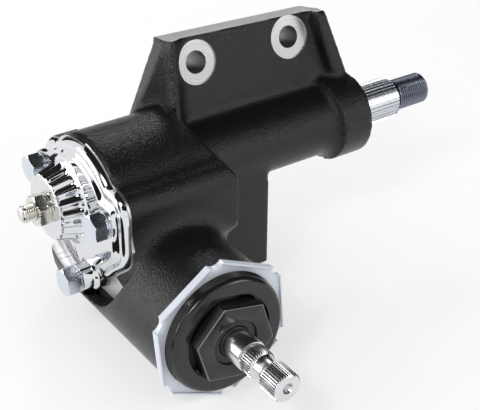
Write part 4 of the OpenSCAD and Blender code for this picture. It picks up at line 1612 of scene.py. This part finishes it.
@dataclass(frozen=True)
class Card:
    """A dark card that only reflections see; sizes in metres, shade as a grey level."""

    name: str
    place: Triple
    facing: Triple
    size: Point
    shade: float

    def hang(self) -> None:
        """Puts the card into the scene."""
        turn = Vector(self.facing).to_track_quat("Z", "Y").to_matrix().to_4x4()
        scale = Matrix.Diagonal((self.size[0] / 2, self.size[1] / 2, 1.0, 1.0))
        shape = bmesh.new()
        bmesh.ops.create_grid(shape, x_segments=1, y_segments=1, size=1.0,
                              matrix=Matrix.Translation(self.place) @ turn @ scale)
        card = held(self.name, shape)
        felt = bpy.data.materials.new(self.name)
        felt.use_nodes = True
        surface = felt.node_tree.nodes["Principled BSDF"]
        surface.inputs["Base Color"].default_value = (self.shade, self.shade, self.shade, 1.0)
        surface.inputs["Roughness"].default_value = 1.0
        surface.inputs["Specular IOR Level"].default_value = 0.0
        card.data.materials.append(felt)
        card.visible_camera = card.visible_diffuse = card.visible_shadow = False
        card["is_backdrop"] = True


@dataclass(frozen=True)
class Studio:
    """Camera, floor and soft lights."""

    level: float
    eye: Triple = (-0.32904, -0.53347, 0.27893)
    right: Triple = (0.82074, -0.57128, 0.00581)
    up: Triple = (0.28978, 0.42504, 0.85753)
    lens_mm: float = 90.06
    sensor_mm: float = 36.0
    world_light: float = 0.62
    floor_size: float = 6.0
    floor_grey: float = 0.97
    floor_glow: float = 0.55
    lamps: tuple[Lamp, ...] = (
        Lamp("key", (-0.8, -0.5, 0.8), 0.4, 3.6),
        Lamp("spark", (-0.78, -0.48, 0.78), 0.07, 1.2),
        Lamp("fill", (0.7, -0.9, 0.4), 0.5, 2.5),
        Lamp("rim", (0.5, 0.78, 0.58), 0.16, 2.0),
        Lamp("side", (-0.85, 0.5, 0.12), 0.6, 4.5))

    def camera(self) -> None:
        """Sets the camera at the photograph's viewpoint."""
        data = bpy.data.cameras.new("View")
        data.lens = self.lens_mm
        data.sensor_width = self.sensor_mm
        data.clip_start = 0.01
        data.clip_end = 20.0
        camera = bpy.data.objects.new("View", data)
        right, up = Vector(self.right), Vector(self.up)
        turn = Matrix((right, up, right.cross(up))).transposed()
        camera.matrix_world = Matrix.Translation(self.eye) @ turn.to_4x4()
        bpy.context.scene.collection.objects.link(camera)
        bpy.context.scene.camera = camera

    @staticmethod
    def seen(shader: Shader) -> bpy.types.NodeSocket:
        """Adds a mask of the rays that see a surface straight, in a mirror or through glass.

        Args:
            shader: The tree to add to.

        Returns:
            The mask's socket.
        """
        rays = shader.node("LightPath").outputs
        mask = shader.math("MAXIMUM", rays["Is Camera Ray"], rays["Is Transmission Ray"])
        return shader.math("MAXIMUM", mask, rays["Is Glossy Ray"])

    def world(self) -> None:
        """Sets a white backdrop with a plain grey light."""
        world = bpy.data.worlds.new("Studio")
        bpy.context.scene.world = world
        world.use_nodes = True
        shader = Shader(world.node_tree)
        ground = world.node_tree.nodes["Background"]
        ground.inputs["Color"].default_value = (1.0, 1.0, 1.0, 1.0)
        shader.link(shader.spread(self.seen(shader), self.world_light, 1.0), ground.inputs["Strength"])

    def floor(self) -> None:
        """Lays the pale floor under the object."""
        shape = bmesh.new()
        bmesh.ops.create_grid(shape, x_segments=2, y_segments=2, size=self.floor_size,
                              matrix=Matrix.Translation((0.0, 0.0, self.level)))
        ground = held("floor", shape)
        paper = bpy.data.materials.new("Paper")
        paper.use_nodes = True
        shader = Shader(paper.node_tree)
        sheet = paper.node_tree.nodes["Principled BSDF"]
        sheet.inputs["Base Color"].default_value = (self.floor_grey, self.floor_grey, self.floor_grey, 1.0)
        sheet.inputs["Roughness"].default_value = 0.9
        mix = shader.node("MixShader")
        shader.link(shader.math("MULTIPLY", self.seen(shader), self.floor_glow), mix.inputs[0])
        shader.link(sheet.outputs[0], mix.inputs[1])
        shader.link(shader.node("Emission").outputs[0], mix.inputs[2])
        shader.link(mix.outputs[0], paper.node_tree.nodes["Material Output"].inputs["Surface"])
        ground.data.materials.append(paper)
        ground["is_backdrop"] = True

    def cards(self) -> tuple[Card, ...]:
        """Returns the dark cards that give the bright metal its contrast."""
        return (Card("left_card", (-0.9, 0.25, 0.95), (0.75, -0.2, -0.75), (0.9, 0.5), 0.03),
                Card("lens_card", (-0.55, -0.8, 0.62), (0.55, 0.8, -0.62), (0.8, 0.5), 0.01),
                Card("front_card", (-0.95, -0.08, 0.18), (1.0, 0.08, -0.15), (0.36, 0.5), 0.01),
                Card("low_card", (-0.27, -0.085, self.level + 0.002), (0.0, 0.0, 1.0), (0.18, 0.13), 0.01),
                Card("back_card", (0.65, 1.1, 0.55), (0.0, -1.0, 0.0), (1.9, 1.3), 0.02),
                Card("roof_card", (0.3, 0.0, 1.4), (0.0, 0.0, -1.0), (2.6, 2.4), 0.02),
                Card("right_card", (1.2, 0.0, 0.5), (-1.0, 0.0, 0.0), (2.2, 1.3), 0.03))

    def build(self) -> None:
        """Builds the whole studio."""
        bpy.context.scene.view_settings.view_transform = "Standard"
        self.camera()
        self.world()
        self.floor()
        for item in (*self.lamps, *self.cards()):
            item.hang()


def corners() -> list[list[float]]:
    """Returns the shown object's box as two lists of numbers."""
    return [list(corner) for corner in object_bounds()]


def main() -> None:
    """Builds the pieces in order, dresses them and sets the studio."""
    logging.basicConfig(level=logging.INFO, format="%(name)s: %(message)s")
    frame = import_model()
    cad_box = corners()
    nodes = frame["nodes"]
    palette = Palette()
    palette.dress(nodes)
    shop = Workshop(palette)
    cover = SideCover()
    Casting(nodes["gear_housing"], cover).build(shop)
    cover.build(shop)
    LashAdjuster().build(shop)
    OutputShaft(nodes["sector_shaft"]).build(shop)
    AdjusterPlug().build(shop)
    InputShaft(nodes["worm_shaft"]).build(shop)
    LockRing().build(shop)
    Studio(cad_box[0][2]).build()


if __name__ == "__main__":
    main()
